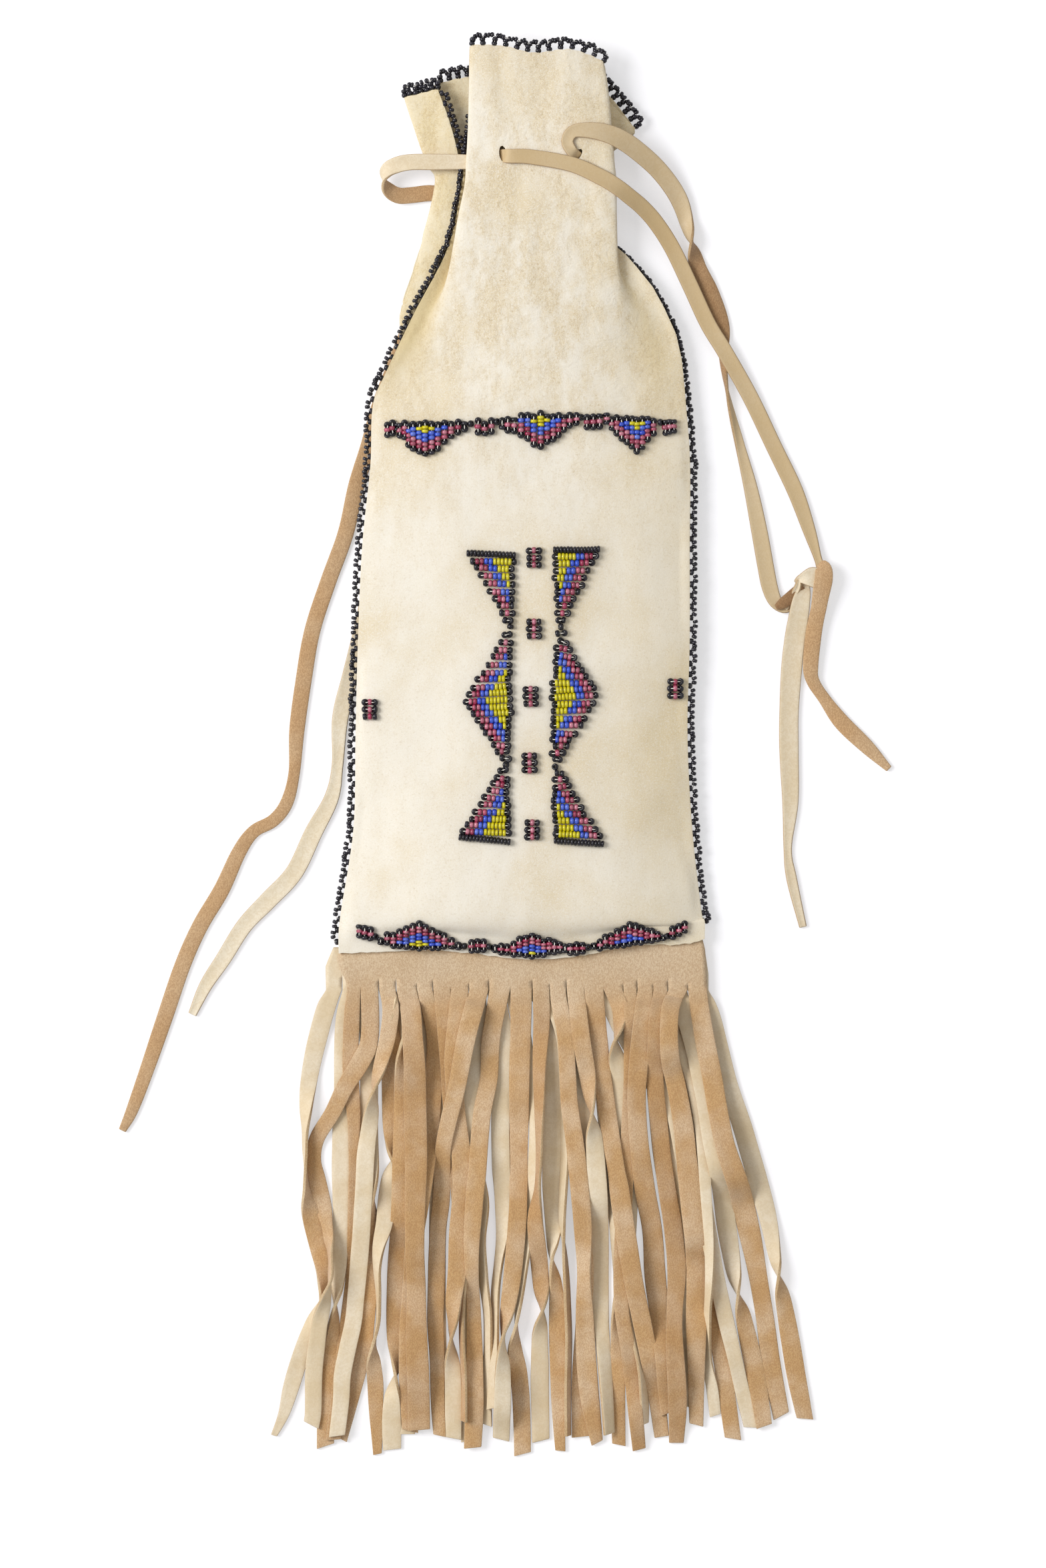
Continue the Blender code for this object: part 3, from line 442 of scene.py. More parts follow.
@dataclass(frozen=True)
class BrainTannedHide:
    """White deer hide, brain tanned: matt, with tan stains, fine brown veins and a soft grain.

    Stains are some 35 mm across, cloudy patches 8 mm, upright veins 6 mm apart and slanted
    wrinkles 5 mm apart; patches, veins and wrinkles are strongest at the gathered neck. The nap is
    0.45 mm, drawn a little coarser than the real nap so that it shows. The point attribute "tone"
    mixes in a yellow-tan painted shade, mostly beside the neck folds.
    """

    name: str
    base: str = "F1E9D9"
    warm: str = "E4D3B1"
    vein: str = "B99F74"
    pale: str = "F6F1E6"
    # Colour of the painted shade that the tone attribute mixes in.
    painted_shade_colour: str = "D6C293"
    vein_share: float = 0.4
    vein_half_width: float = 0.022
    stain_size: float = 35 * MM
    patch_size: float = 8 * MM
    vein_size: float = 6 * MM
    wrinkle_size: float = 5 * MM
    nap_size: float = 0.45 * MM
    speck_size: float = 0.8 * MM
    neck: tuple[float, float] = (40 * MM, 130 * MM)
    stain_range: tuple[float, float] = (0.42, 0.75)
    patch_range: tuple[float, float] = (0.36, 0.64)
    vein_range: tuple[float, float] = (0.38, 0.62)
    speck_range: tuple[float, float] = (0.52, 0.74)
    nap_range: tuple[float, float] = (0.4, 0.8)
    patch_share: float = 0.85
    nap_share: float = 0.7
    wrinkle_half_width: float = 0.16
    wrinkle_height: float = 1.3
    roughness: float = 0.88
    sheen: tuple[float, float] = (0.15, 0.6)
    relief: tuple[float, float] = (0.32, 0.22 * MM)

    def build(self) -> bpy.types.Material:
        """Make the material."""
        recipe = Recipe(self.name, self.roughness, self.sheen)
        tree, place = recipe.tree, recipe.place
        tall = stretch(tree, place, (1.0, 0.5, 1.0))
        stain = clouds(tree, place, self.stain_size, 4.0)
        patch = clouds(tree, tall, self.patch_size, 6.0, 0.65)
        veins = clouds(tree, tall, self.vein_size, 7.0, 0.72, 0.35)
        thin = clouds(tree, tall, 0.4 * self.vein_size, 5.0, 0.7, 0.3)
        nap = clouds(tree, place, self.nap_size, 2.0, 0.6)
        speck = clouds(tree, place, self.speck_size, 3.0, 0.7)
        ridge = calculate(tree, "MINIMUM", creases(tree, veins), creases(tree, thin))
        line = ramp(tree, ridge, self.vein_half_width, 0.0)
        height = add_node(tree, "ShaderNodeSeparateXYZ", {0: place}).outputs[1]
        neck = ramp(tree, height, *self.neck)
        reach = calculate(tree, "MULTIPLY_ADD", neck, 0.75, 0.2)
        cloudy = calculate(tree, "MULTIPLY", ramp(tree, patch, *self.patch_range), reach)
        line = calculate(tree, "MULTIPLY", calculate(tree, "MULTIPLY", line, self.vein_share),
                         calculate(tree, "MULTIPLY", ramp(tree, patch, *self.vein_range), reach))
        dots = calculate(tree, "MULTIPLY", ramp(tree, speck, *self.speck_range),
                         calculate(tree, "MULTIPLY_ADD", cloudy, 0.35, 0.2))
        fluff = calculate(tree, "MULTIPLY", ramp(tree, nap, *self.nap_range), self.nap_share)
        colour = hex_colour(self.base)
        # Layers: stains, cloudy patches, pale nap, painted shade from the tone attribute, specks
        # and veins.
        for share, layer in (
            (ramp(tree, stain, *self.stain_range), self.warm),
            (calculate(tree, "MULTIPLY", cloudy, self.patch_share), self.warm),
            (fluff, self.pale), (attribute(tree, "tone"), self.painted_shade_colour),
            (dots, self.vein), (line, self.vein),
        ):
            colour = mix(tree, share, colour, hex_colour(layer))
        recipe.coat(colour)
        slanted = stretch(tree, place, (0.6, 1.0, 1.0), -32)
        wrinkle = creases(tree, clouds(tree, slanted, self.wrinkle_size, 3.0, 0.55, 0.6))
        wrinkle = ramp(tree, wrinkle, self.wrinkle_half_width, 0.0)
        wrinkle = calculate(tree, "MULTIPLY", wrinkle, neck)
        relief = calculate(tree, "ADD", nap, calculate(tree, "ADD", patch, veins))
        relief = calculate(tree, "MULTIPLY_ADD", wrinkle, self.wrinkle_height, relief)
        recipe.emboss(relief, *self.relief)
        return recipe.material


@dataclass(frozen=True)
class NappedSuede:
    """Flesh side of smoked hide: a mottled nap of short fibres, darker where it lies down.

    The fibres are 0.1 mm in the real nap and are drawn 0.34 mm so that they show. The point
    attribute "tone" darkens the suede.
    """

    name: str
    base: str = "D2AA76"
    light: str = "E5C9A5"
    dark: str = "AE8251"
    header: str = "E0CBAC"
    nap_size: float = 0.34 * MM
    cloud_size: float = 14 * MM
    nap_shade: float = 0.34
    header_share: float = 0.72
    header_rows: tuple[float, float] = (1545, 1450)
    pale_above: bool = False
    nap_range: tuple[float, float] = (0.62, 0.4)
    roughness: float = 0.95
    sheen: tuple[float, float] = (0.25, 0.55)
    relief: tuple[float, float] = (0.6, 0.3 * MM)

    def build(self) -> bpy.types.Material:
        """Make the material."""
        recipe = Recipe(self.name, self.roughness, self.sheen)
        tree, place = recipe.tree, recipe.place
        nap = clouds(tree, stretch(tree, place, (1.0, 0.6, 1.0)), self.nap_size, 3.0, 0.62, 0.2)
        cloud = clouds(tree, place, self.cloud_size, 4.0)
        dark = hex_colour(self.dark)
        cloudy = ramp(tree, cloud, *CLOUD_RANGE)
        colour = mix(tree, cloudy, hex_colour(self.base), hex_colour(self.light))
        colour = mix(tree, attribute(tree, "tone"), colour, dark)
        if self.pale_above:
            rows = add_node(tree, "ShaderNodeSeparateXYZ", {0: place}).outputs[1]
            header = ramp(tree, rows, *(SCALE.place(0, row).y for row in self.header_rows))
            header = calculate(tree, "MULTIPLY", header, self.header_share)
            colour = mix(tree, header, colour, hex_colour(self.header))
        shaded = add_node(tree, "ShaderNodeMix", {0: self.nap_shade, 6: colour, 7: dark},
                          data_type="RGBA", blend_type="MULTIPLY").outputs[2]
        recipe.coat(mix(tree, ramp(tree, nap, *self.nap_range), colour, shaded))
        recipe.emboss(nap, *self.relief)
        return recipe.material


@dataclass(frozen=True)
class SmoothGrain:
    """Grain side of the same hide: pale, finely creased across, with a dull polish."""

    name: str
    base: str = "E2CEAC"
    light: str = "ECDDC3"
    dark: str = "C9AF84"
    crease_size: float = 1.3 * MM
    cloud_size: float = 11 * MM
    crease_shade: float = 0.2
    crease_range: tuple[float, float] = (0.58, 0.42)
    roughness: float = 0.62
    relief: tuple[float, float] = (0.4, 0.15 * MM)

    def build(self) -> bpy.types.Material:
        """Make the material."""
        recipe = Recipe(self.name, self.roughness)
        tree, place, dark = recipe.tree, recipe.place, hex_colour(self.dark)
        cloud = clouds(tree, place, self.cloud_size, 4.0)
        fine = clouds(tree, place, self.crease_size, 3.0, swirl=1.5)
        cloudy = ramp(tree, cloud, *CLOUD_RANGE)
        colour = mix(tree, cloudy, hex_colour(self.base), hex_colour(self.light))
        colour = mix(tree, attribute(tree, "tone"), colour, dark)
        fold = ramp(tree, fine, *self.crease_range)
        share = calculate(tree, "MULTIPLY", fold, self.crease_shade)
        recipe.coat(mix(tree, share, colour, dark))
        recipe.emboss(fine, *self.relief)
        return recipe.material


@dataclass(frozen=True)
class PressedGlass:
    """Drawn glass seed bead, fire polished: glossy, with a slightly uneven melt.

    The point attribute "tone" lightens a bead, partly at random and partly as a painted highlight
    at the middle of its length, and a second point attribute paints a highlight along its top.
    """

    name: str
    base: str
    light: str
    clear: float = 0.0
    # Share and colour of the painted highlight along the bead's top.
    painted_highlight: float = 0.0
    shine: str = "F6E9EC"
    roughness: float = 0.12
    melt_size: float = 0.8 * MM
    refraction: float = 1.52
    relief: tuple[float, float] = (0.12, 0.05 * MM)

    def build(self) -> bpy.types.Material:
        """Make the material."""
        recipe = Recipe(self.name, self.roughness)
        tree = recipe.tree
        # The tone attribute lightens the bead, partly as a painted highlight; the second attribute
        # is a painted highlight along its top.
        tone, painted_highlight = attribute(tree, "tone"), attribute(tree, "painted_highlight")
        colour = mix(tree, tone, hex_colour(self.base), hex_colour(self.light))
        painted_highlight = calculate(tree, "MULTIPLY", painted_highlight, self.painted_highlight)
        recipe.coat(mix(tree, painted_highlight, colour, hex_colour(self.shine)))
        recipe.emboss(clouds(tree, recipe.place, self.melt_size), *self.relief)
        recipe.put("IOR", self.refraction)
        recipe.put("Transmission Weight", self.clear)
        return recipe.material


@dataclass(frozen=True)
class CottonThread:
    """White sewing thread, twisted: matt with fine darker turns."""

    name: str = "white cotton thread"
    base: str = "F4F1EA"
    dark: str = "DAD4C8"
    turn_size: float = 0.3 * MM
    roughness: float = 0.8

    def build(self) -> bpy.types.Material:
        """Make the material."""
        recipe = Recipe(self.name, self.roughness)
        turns = clouds(recipe.tree, recipe.place, self.turn_size)
        recipe.coat(mix(recipe.tree, turns, hex_colour(self.base), hex_colour(self.dark)))
        return recipe.material


GLASSES = (
    PressedGlass("black_glass", "15131A", "2B2833", roughness=0.2),
    PressedGlass("rose_glass", "860A36", "BC2C5A", clear=0.15, painted_highlight=0.72, shine="F2A9BA"),
    PressedGlass("blue_glass", "1B3AC0", "3F63E0", clear=0.1, painted_highlight=0.5, shine="93AAF2"),
    PressedGlass("yellow_glass", "C6B800", "DCD010", painted_highlight=0.3, shine="EDE66A"),
)


Finish = BrainTannedHide | NappedSuede | SmoothGrain | PressedGlass | CottonThread


def made(finish: Finish) -> bpy.types.Material:
    """A field that holds the material of a finish."""
    return field(default_factory=finish.build)


@dataclass
class Finishes:
    """Every material of the bag, built once."""

    front: bpy.types.Material = made(BrainTannedHide("front_hide"))
    back: bpy.types.Material = made(BrainTannedHide(
        "back_hide", base="EEE1C3", warm="E2CEA0", pale="F4EBD6", vein="B79B6C"))
    lining: bpy.types.Material = made(BrainTannedHide(
        "hide_inside", base="EADFC3", warm="DECBA0", pale="F0E7D2"))
    edge: bpy.types.Material = made(BrainTannedHide(
        "hide_cut_edge", base="EADFC6", warm="DDCAA2", pale="F2EBDA", vein_share=0.1))
    suede: bpy.types.Material = made(NappedSuede("smoked_suede", pale_above=True))
    smooth: bpy.types.Material = made(SmoothGrain("pale_grain_side"))
    strip_edge: bpy.types.Material = made(NappedSuede(
        "strip_cut_edge", base="CDB086", light="DCC5A0", dark="B4946A"))
    thong_suede: bpy.types.Material = made(NappedSuede(
        "thong_suede", base="D8B182", light="E1C096", dark="9A744C"))
    thong_smooth: bpy.types.Material = made(SmoothGrain(
        "thong_grain_side", base="EADBBF", light="EFE3CC", dark="C2A574"))
    thread: bpy.types.Material = made(CottonThread())
    glass: list[bpy.types.Material] = field(
        default_factory=lambda: [glass.build() for glass in GLASSES])

    def thong_sides(self) -> list[bpy.types.Material]:
        """Smooth side, suede side and cut edge of a thong."""
        return [self.thong_smooth, self.thong_suede, self.strip_edge]


# The two hide panels

LEFT_SEAM = (
    (507, 1432), (509, 1400), (513, 1355), (522, 1302), (530, 1249), (535, 1195), (534, 1150),
    (534, 1100), (535, 1040), (538, 945), (542, 870), (544, 815), (549, 768), (554, 736),
    (556, 700), (556, 650), (560, 608), (574, 560), (600, 518), (622, 470), (645, 425),
    (668, 382), (684, 330), (691, 275), (693, 246), (690, 228),
)
RIGHT_SEAM = (
    (1057, 1432), (1054, 1396), (1050, 1360), (1046, 1335), (1041, 1300), (1038, 1260),
    (1034, 1200), (1031, 1140), (1029, 1075), (1032, 1010), (1034, 920), (1033, 800), (1034, 720),
    (1033, 680), (1030, 640), (1026, 590), (1021, 540), (1013, 503), (996, 465), (978, 432),
    (952, 400), (925, 370),
)
BODY_ROWS = (1366, 1240, 1100, 960, 820, 700, 610)
SEAM_SHARES = (0.56, 0.63, 0.8, 1.0, 1.0, 1.0, 1.0)
NECK_SEAMS = (
    (0.46, 0.46), (0.5, 0.48), (0.55, 0.48), (0.55, 0.49), (0.55, 0.49), None, None,
)
FRINGE_TAB = 5 * MM
CROWN_SHARE = 0.9
CROWN_POWER = 2.6
SHOULDER_ROWS = (700, 600, 385, 355)

FRONT_ACROSS = (0.0, 0.06, 0.24, 0.38, 0.52, 0.68, 0.83, 0.94, 1.0)
FRONT_HEM = (
    (508, 1428), (540, 1428), (640, 1424), (712, 1429), (783, 1437), (865, 1433), (944, 1418),
    (1022, 1415), (1056, 1408),
)
FRONT_NECK = (
    ((580, 558), (602, 558), (656, 558), (730, 558), (800, 558), (880, 558), (940, 558),
     (996, 556), (1015, 555)),
    ((622, 470), (646, 470), (668, 470), (735, 470), (800, 470), (872, 470), (928, 470),
     (968, 470), (990, 470)),
    ((672, 372), (696, 372), (684, 372), (745, 372), (803, 372), (868, 372), (923, 372),
     (896, 372), (917, 372)),
    ((692, 280), (716, 280), (699, 280), (750, 280), (806, 280), (866, 280), (920, 280),
     (880, 280), (900, 280)),
    ((697, 246), (718, 246), (701, 246), (752, 246), (808, 246), (866, 246), (917, 246),
     (878, 246), (898, 246)),
    ((711, 190), (729, 190), (704, 190), (755, 190), (808, 190), (858, 190), (913, 190),
     (876, 190), (893, 190)),
    ((712, 94), (731, 86), (709, 74), (755, 75), (800, 85), (856, 80), (904, 99),
     (878, 104), (889, 110)),
)
FRONT_NECK_SHARES = (
    (0.0, 0.53, 0.72, 0.85, 0.9, 0.86, 0.77, 0.6, 0.0),
    (0.0, 0.56, 0.82, 0.92, 0.95, 0.92, 0.82, 0.57, 0.0),
    (0.0, 0.55, 0.9, 0.96, 0.98, 0.96, 0.88, 0.58, 0.0),
    (0.0, 0.55, 0.92, 0.98, 1.0, 0.98, 0.92, 0.6, 0.0),
    (0.0, 0.55, 0.92, 0.98, 1.0, 0.98, 0.92, 0.62, 0.0),
    (0.6, 0.63, 0.9, 0.97, 0.98, 0.97, 0.9, 0.65, 0.58),
    (0.6, 0.66, 0.88, 0.94, 0.95, 0.94, 0.87, 0.69, 0.6),
)
BACK_ACROSS = (0.0, 0.07, 0.22, 0.38, 0.54, 0.84, 0.94, 1.0)
BACK_FLANKS = (1.0, 0.72, 0.0, 0.0, 0.0, 0.0, 0.5, 1.0)
BACK_HEM = (
    (508, 1425), (548, 1426), (633, 1424), (712, 1427), (790, 1432), (942, 1418), (1024, 1413),
    (1056, 1406),
)
BACK_NECK = (
    ((580, 558), (620, 558), (694, 558), (745, 558), (800, 558), (940, 558), (990, 556),
     (1015, 555)),
    ((622, 470), (603, 472), (662, 470), (725, 470), (800, 470), (912, 470), (962, 470),
     (990, 470)),
    ((668, 372), (630, 374), (664, 372), (725, 372), (800, 372), (876, 372), (908, 372),
     (917, 372)),
    ((687, 278), (655, 278), (684, 278), (730, 278), (800, 278), (866, 278), (892, 278),
     (896, 278)),
    ((689, 246), (642, 246), (676, 246), (730, 246), (800, 246), (866, 246), (894, 246),
     (892, 246)),
    ((676, 190), (622, 192), (668, 186), (730, 186), (800, 186), (870, 186), (944, 206),
     (906, 196)),
    ((657, 137), (608, 148), (661, 127), (707, 117), (800, 108), (878, 112), (951, 194),
     (904, 146)),
)
BACK_NECK_SHARES = (
    (0.0, 0.24, 0.0, 0.0, 0.0, 0.0, 0.2, 0.0),
    (0.0, 0.28, 0.23, 0.19, 0.16, 0.16, 0.24, 0.0),
    (0.0, 0.33, 0.21, 0.21, 0.21, 0.21, 0.28, 0.0),
    (0.0, 0.35, 0.22, 0.21, 0.21, 0.21, 0.28, 0.0),
    (0.0, 0.35, 0.22, 0.21, 0.21, 0.21, 0.28, 0.0),
    (0.54, 0.37, 0.22, 0.22, 0.22, 0.22, 0.26, 0.44),
    (0.56, 0.39, 0.23, 0.23, 0.23, 0.23, 0.26, 0.46),
)


def row_ease(low: float, high: float, along: np.ndarray) -> np.ndarray:
    """Ease from 0 at one pixel row to 1 at another, at places along the bag."""
    return smoothstep(SCALE.place(0, low).y, SCALE.place(0, high).y, along)


def pixel_line(pixels: tuple, height: float = 0.0) -> np.ndarray:
    """Points of a pixel line at one height."""
    return np.array([list(SCALE.place(*pixel, height)) for pixel in pixels])


def seam_column(seam: tuple, row: float) -> float:
    """Pixel column of a side seam at a pixel row."""
    rows = [pixel[1] for pixel in reversed(seam)]
    columns = [pixel[0] for pixel in reversed(seam)]
    return float(np.interp(row, rows, columns))


@dataclass
class HidePanel:
    """One panel of the bag: a sheet of hide lofted from the hem through the body to the neck."""

    name: str
    node: str
    hem: tuple
    across: tuple
    neck: tuple
    neck_shares: tuple
    hem_height: float
    seam_side: int
    column_cuts: int
    row_cuts: int
    flat: tuple[float, float]
    painted_shade_share: float = 1.0
    slits: tuple = ()
    slit_size: tuple[float, float] = (2.5 * MM, 5.7 * MM)
    slit_reach: float = 2.5 * MM
    swell: tuple[float, float] = (38 * MM, 0.75)
    small_swell: tuple[float, float] = (13 * MM, 0.2)
    gather: tuple[float, float] = (11 * MM, 0.4)
    raggedness: tuple[float, float] = (2.6 * MM, 0.45)
    scallop_pitch: float = 4.0 * MM
    scallop_depth: float = 0.35
    # Shares of the painted shade beside the neck folds and of the darkening towards the right side,
    # then the place, spread and share of the painted shade right of the pleat.
    flank_shade: float = 0.95
    right_darkening: float = 0.26
    pleat_shade: tuple[float, float, float] = (0.84, 0.05, 0.4)
    seed: float = 3.0

    def body_height(self, number: int, seam: float) -> float:
        """Height of the panel in the body at one of its columns."""
        if self.seam_side > 0:
            crown = BAG_LOFT * CROWN_SHARE
            return crown + (seam - crown) * abs(2 * self.across[number] - 1) ** CROWN_POWER
        return self.hem_height + (seam - self.hem_height) * BACK_FLANKS[number]

    def keys(self) -> np.ndarray:
        """Rows of key points from the hem to the mouth."""
        offset = self.seam_side * (HIDE_THICKNESS + SEAM_GAP) / 2
        edge = [SCALE.place(*pixel, self.hem_height) for pixel in self.hem]
        rise = HIDE_THICKNESS if self.seam_side > 0 else 0.0
        last = len(edge) - 1
        tab = FRINGE_TAB + HIDE_THICKNESS
        inner = [point + Vector((0, tab, rise * (1 - (2 * i / last - 1) ** 2)))
                 for i, point in enumerate(edge)]
        rows = [edge, inner]
        for row, share in zip(BODY_ROWS, SEAM_SHARES):
            left, right = seam_column(LEFT_SEAM, row), seam_column(RIGHT_SEAM, row)
            seam = SEAM_HEIGHT * share + offset
            rows.append([
                SCALE.place(left + (right - left) * place, row, self.body_height(i, seam))
                for i, place in enumerate(self.across)
            ])
        for pixels, shares, seams in zip(self.neck, self.neck_shares, NECK_SEAMS):
            line = [SCALE.place(*pixel, BAG_LOFT * share) for pixel, share in zip(pixels, shares)]
            if seams:
                line[0].z = BAG_LOFT * seams[0] + offset
                line[-1].z = BAG_LOFT * seams[1] + offset
            rows.append(line)
        return np.array([[list(point) for point in row] for row in rows])

    def surface(self) -> np.ndarray:
        """Fine grid of the sheet's middle surface, with its swells and gathers."""
        points = spline(self.keys(), self.row_cuts)
        points = spline(points.swapaxes(0, 1), self.column_cuts).swapaxes(0, 1)
        rows, columns = points.shape[:2]
        normals = grid_normals(points)
        across = np.linspace(0.0, 1.0, columns)[None, :] * np.ones((rows, 1))
        window = smoothstep(0.0, 0.08, across) * smoothstep(1.0, 0.92, across)
        window = window * smoothstep(0, 1.6 * self.row_cuts, np.arange(rows)[:, None] * 1.0)
        swell = swells(points, self.swell, self.seed)
        swell = swell + swells(points, self.small_swell, self.seed + 9)
        neck = row_ease(600, 380, points[..., 1])
        gathers = swells(points * np.array([1.0, 0.2, 0.0]), self.gather, self.seed + 20)
        lift = (swell + gathers * neck) * window
        points = points + normals * lift[..., None]
        points[..., 2] = np.maximum(points[..., 2], HIDE_THICKNESS / 2)
        points[..., 0] += self.shoulder(points, across)
        points[0, :, 1] += swells(points[0], self.raggedness, self.seed + 31)
        mouth = points[-1]
        run = np.concatenate([[0.0], np.cumsum(np.linalg.norm(np.diff(mouth, axis=0), axis=1))])
        scallop = np.abs(np.sin(math.pi * run / self.scallop_pitch)) * self.scallop_depth * MM
        points[-1, :, 1] += scallop
        points[-2, :, 1] += scallop * 0.6
        return points

    def shoulder(self, points: np.ndarray, across: np.ndarray) -> np.ndarray:
        """How far each point moves out for the right side to keep to its seam above the body."""
        seam = pixel_line(RIGHT_SEAM)
        rows = points[:, -1, 1]
        low, full, fading, top = SHOULDER_ROWS
        need = np.interp(rows, seam[:, 1], seam[:, 0]) - points[:, -1, 0]
        need = need * row_ease(low, full, rows) * row_ease(top, fading, rows)
        return need[:, None] * smoothstep(0.78, 1.0, across)

    def slit_share(self, point: Vector, middle: Vector, turn: float) -> float:
        """How far out in a slit a point lies: 0 in its middle and 1 on its rim."""
        half = Vector(self.slit_size) / 2
        flat = Matrix.Rotation(-turn, 2) @ Vector((point.x - middle.x, point.y - middle.y))
        return math.hypot(flat.x / half.x, flat.y / half.y)

    def cut_slits(self, thing: bpy.types.Object) -> None:
        """Cut the thong slits: drop the faces inside each one and pull its rim to an oval."""
        shape = bmesh.new()
        shape.from_mesh(thing.data)
        for x, y, turn in self.slits:
            spot = SCALE.place(x, y, BAG_LOFT)
            near = [face for face in shape.faces
                    if abs(face.calc_center_median().z - spot.z) < self.slit_reach]
            doomed = [face for face in near
                      if self.slit_share(face.calc_center_median(), spot, turn) < 1.0]
            rim = {corner for face in doomed for corner in face.verts
                   if any(other not in doomed for other in corner.link_faces)}
            bmesh.ops.delete(shape, geom=doomed, context="FACES")
            for corner in rim:
                if corner.is_valid:
                    reach = self.slit_share(corner.co, spot, turn)
                    corner.co.x = spot.x + (corner.co.x - spot.x) / reach
                    corner.co.y = spot.y + (corner.co.y - spot.y) / reach
        shape.to_mesh(thing.data)
        shape.free()

    def build(self, materials: list[bpy.types.Material], rests_on: list) -> bpy.types.Object:
        """Args:
            materials: Outer side, inner side and cut edge.
            rests_on: What it lies on; not used.

        Returns:
            The finished panel.
        """
        points = self.surface()
        faces = grid_faces(*points.shape[:2])
        if self.seam_side < 0:
            faces = faces[:, ::-1]
        thing = mesh_piece(self.name, points.reshape(-1, 3), faces, materials)
        # The tone attribute holds the painted shade of the neck folds.
        tones(thing, self.painted_shade(points).ravel())
        self.cut_slits(thing)
        give_thickness(thing)
        settle(thing, "bag", [self.node])
        self.flat_area()
        self.points = points
        self.piece = thing
        return thing

    def painted_shade(self, points: np.ndarray) -> np.ndarray:
        """Painted shade in yellow-tan: most beside the left neck fold and right of the pleat, where
        shade falls, and some darkening towards the right side.
        """
        across = np.linspace(0.0, 1.0, points.shape[1])[None, :]
        high = row_ease(640, 500, points[..., 1])
        # Painted shade beside the left neck fold and right of the pleat; far darkens towards the
        # right side.
        flank = smoothstep(0.3, 0.08, across) * high * self.flank_shade
        far = smoothstep(0.5, 1.0, across) * self.right_darkening
        middle, spread, tone = self.pleat_shade
        pleat_shade = np.exp(-((across - middle) / spread) ** 2) * high * tone
        return (flank + (far + pleat_shade) * (1 - flank)) * self.painted_shade_share

    def flat_area(self) -> float:
        """Area of the middle surface, which is the area that the panel was cut to."""
        points = self.keys()
        points = spline(spline(points, 4).swapaxes(0, 1), 4)
        a = points[1:, :-1] - points[:-1, :-1]
        b = points[:-1, 1:] - points[:-1, :-1]
        area = float(np.linalg.norm(np.cross(a, b), axis=-1).sum())
        return min(area, self.flat[0] * self.flat[1])


def build_panels(finishes: Finishes) -> tuple[HidePanel, HidePanel]:
    """Model the back panel and then the front panel that lies on it.

    Args:
        finishes: The bag's materials.

    Returns:
        The front and the back panel.
    """
    back = HidePanel(
        "back_hide", "back_panel", BACK_HEM, BACK_ACROSS, BACK_NECK, BACK_NECK_SHARES,
        hem_height=HIDE_THICKNESS / 2, seam_side=-1, column_cuts=12, row_cuts=15,
        flat=(0.150, 0.312), seed=7.0, painted_shade_share=0.15,
    )
    back.build([finishes.back, finishes.lining, finishes.edge], [])
    front = HidePanel(
        "front_hide", "front_panel", FRONT_HEM, FRONT_ACROSS, FRONT_NECK, FRONT_NECK_SHARES,
        hem_height=HIDE_THICKNESS / 2 + 3 * (HIDE_THICKNESS + SEAM_GAP), seam_side=1,
        column_cuts=14, row_cuts=15, flat=(0.170, 0.318),
        slits=((754, 235, 0.12), (864, 238, -0.66)),
    )
    front.build([finishes.front, finishes.lining, finishes.edge], ["back_hide"])
    return front, back


# Flat thongs

THONG_WIDTH = 5.5 * MM
THONG_STEP = 0.9 * MM
THONG_SPANS = 6
KNOT_CUP = 0.5 * MM


@dataclass
class Thong:
    """A flat hide thong along its route.

    Each route point is (x pixel, y pixel, height in mm, width share, turn in degrees), less what
    stays as before. The turn rolls the thong about its own line, and at 0 its smooth side looks up.
    """

    name: str
    node: str
    route: tuple
    far_end: str
    tone: float = 0.3
    cup: float = 0.25 * MM
    shading: tuple[float, float] = (25 * MM, 0.1)

    def line(self) -> np.ndarray:
        """Even samples of the route: point, width and turn."""
        keys = np.array([
            [*SCALE.place(x, y, height * MM), share * THONG_WIDTH, math.radians(turn)]
            for x, y, height, share, turn in fill_in(self.route, 5)
        ])
        line = resample(spline(keys, 8), THONG_STEP)
        lift = np.abs(np.sin(line[:, 4])) * line[:, 3] / 2 + HIDE_THICKNESS * 0.55
        line[:, 2] = np.maximum(line[:, 2], soften(lift, 3))
        return line

    def strip(self, materials: list[bpy.types.Material]) -> bpy.types.Object:
        """Model the flat strip: smooth side, suede side and cut edge."""
        line = self.line()
        points = ribbon(line, THONG_SPANS, self.cup)
        faces = grid_faces(*points.shape[:2])[:, ::-1]
        thing = mesh_piece(self.name, points.reshape(-1, 3), faces, materials)
        size, share = self.shading
        shades = self.tone + share * waves(line[:, :3], size, 4.0)
        tones(thing, np.repeat(shades, points.shape[1]))
        give_thickness(thing)
        return thing

    def build(self, materials: list[bpy.types.Material]) -> bpy.types.Object:
        """Args:
            materials: Smooth side, suede side and cut edge.

        Returns:
            The finished thong.
        """
        thing = self.strip(materials)
        settle(thing, "bag", [self.node])
        centre = self.line()[:, :3]
        return thing


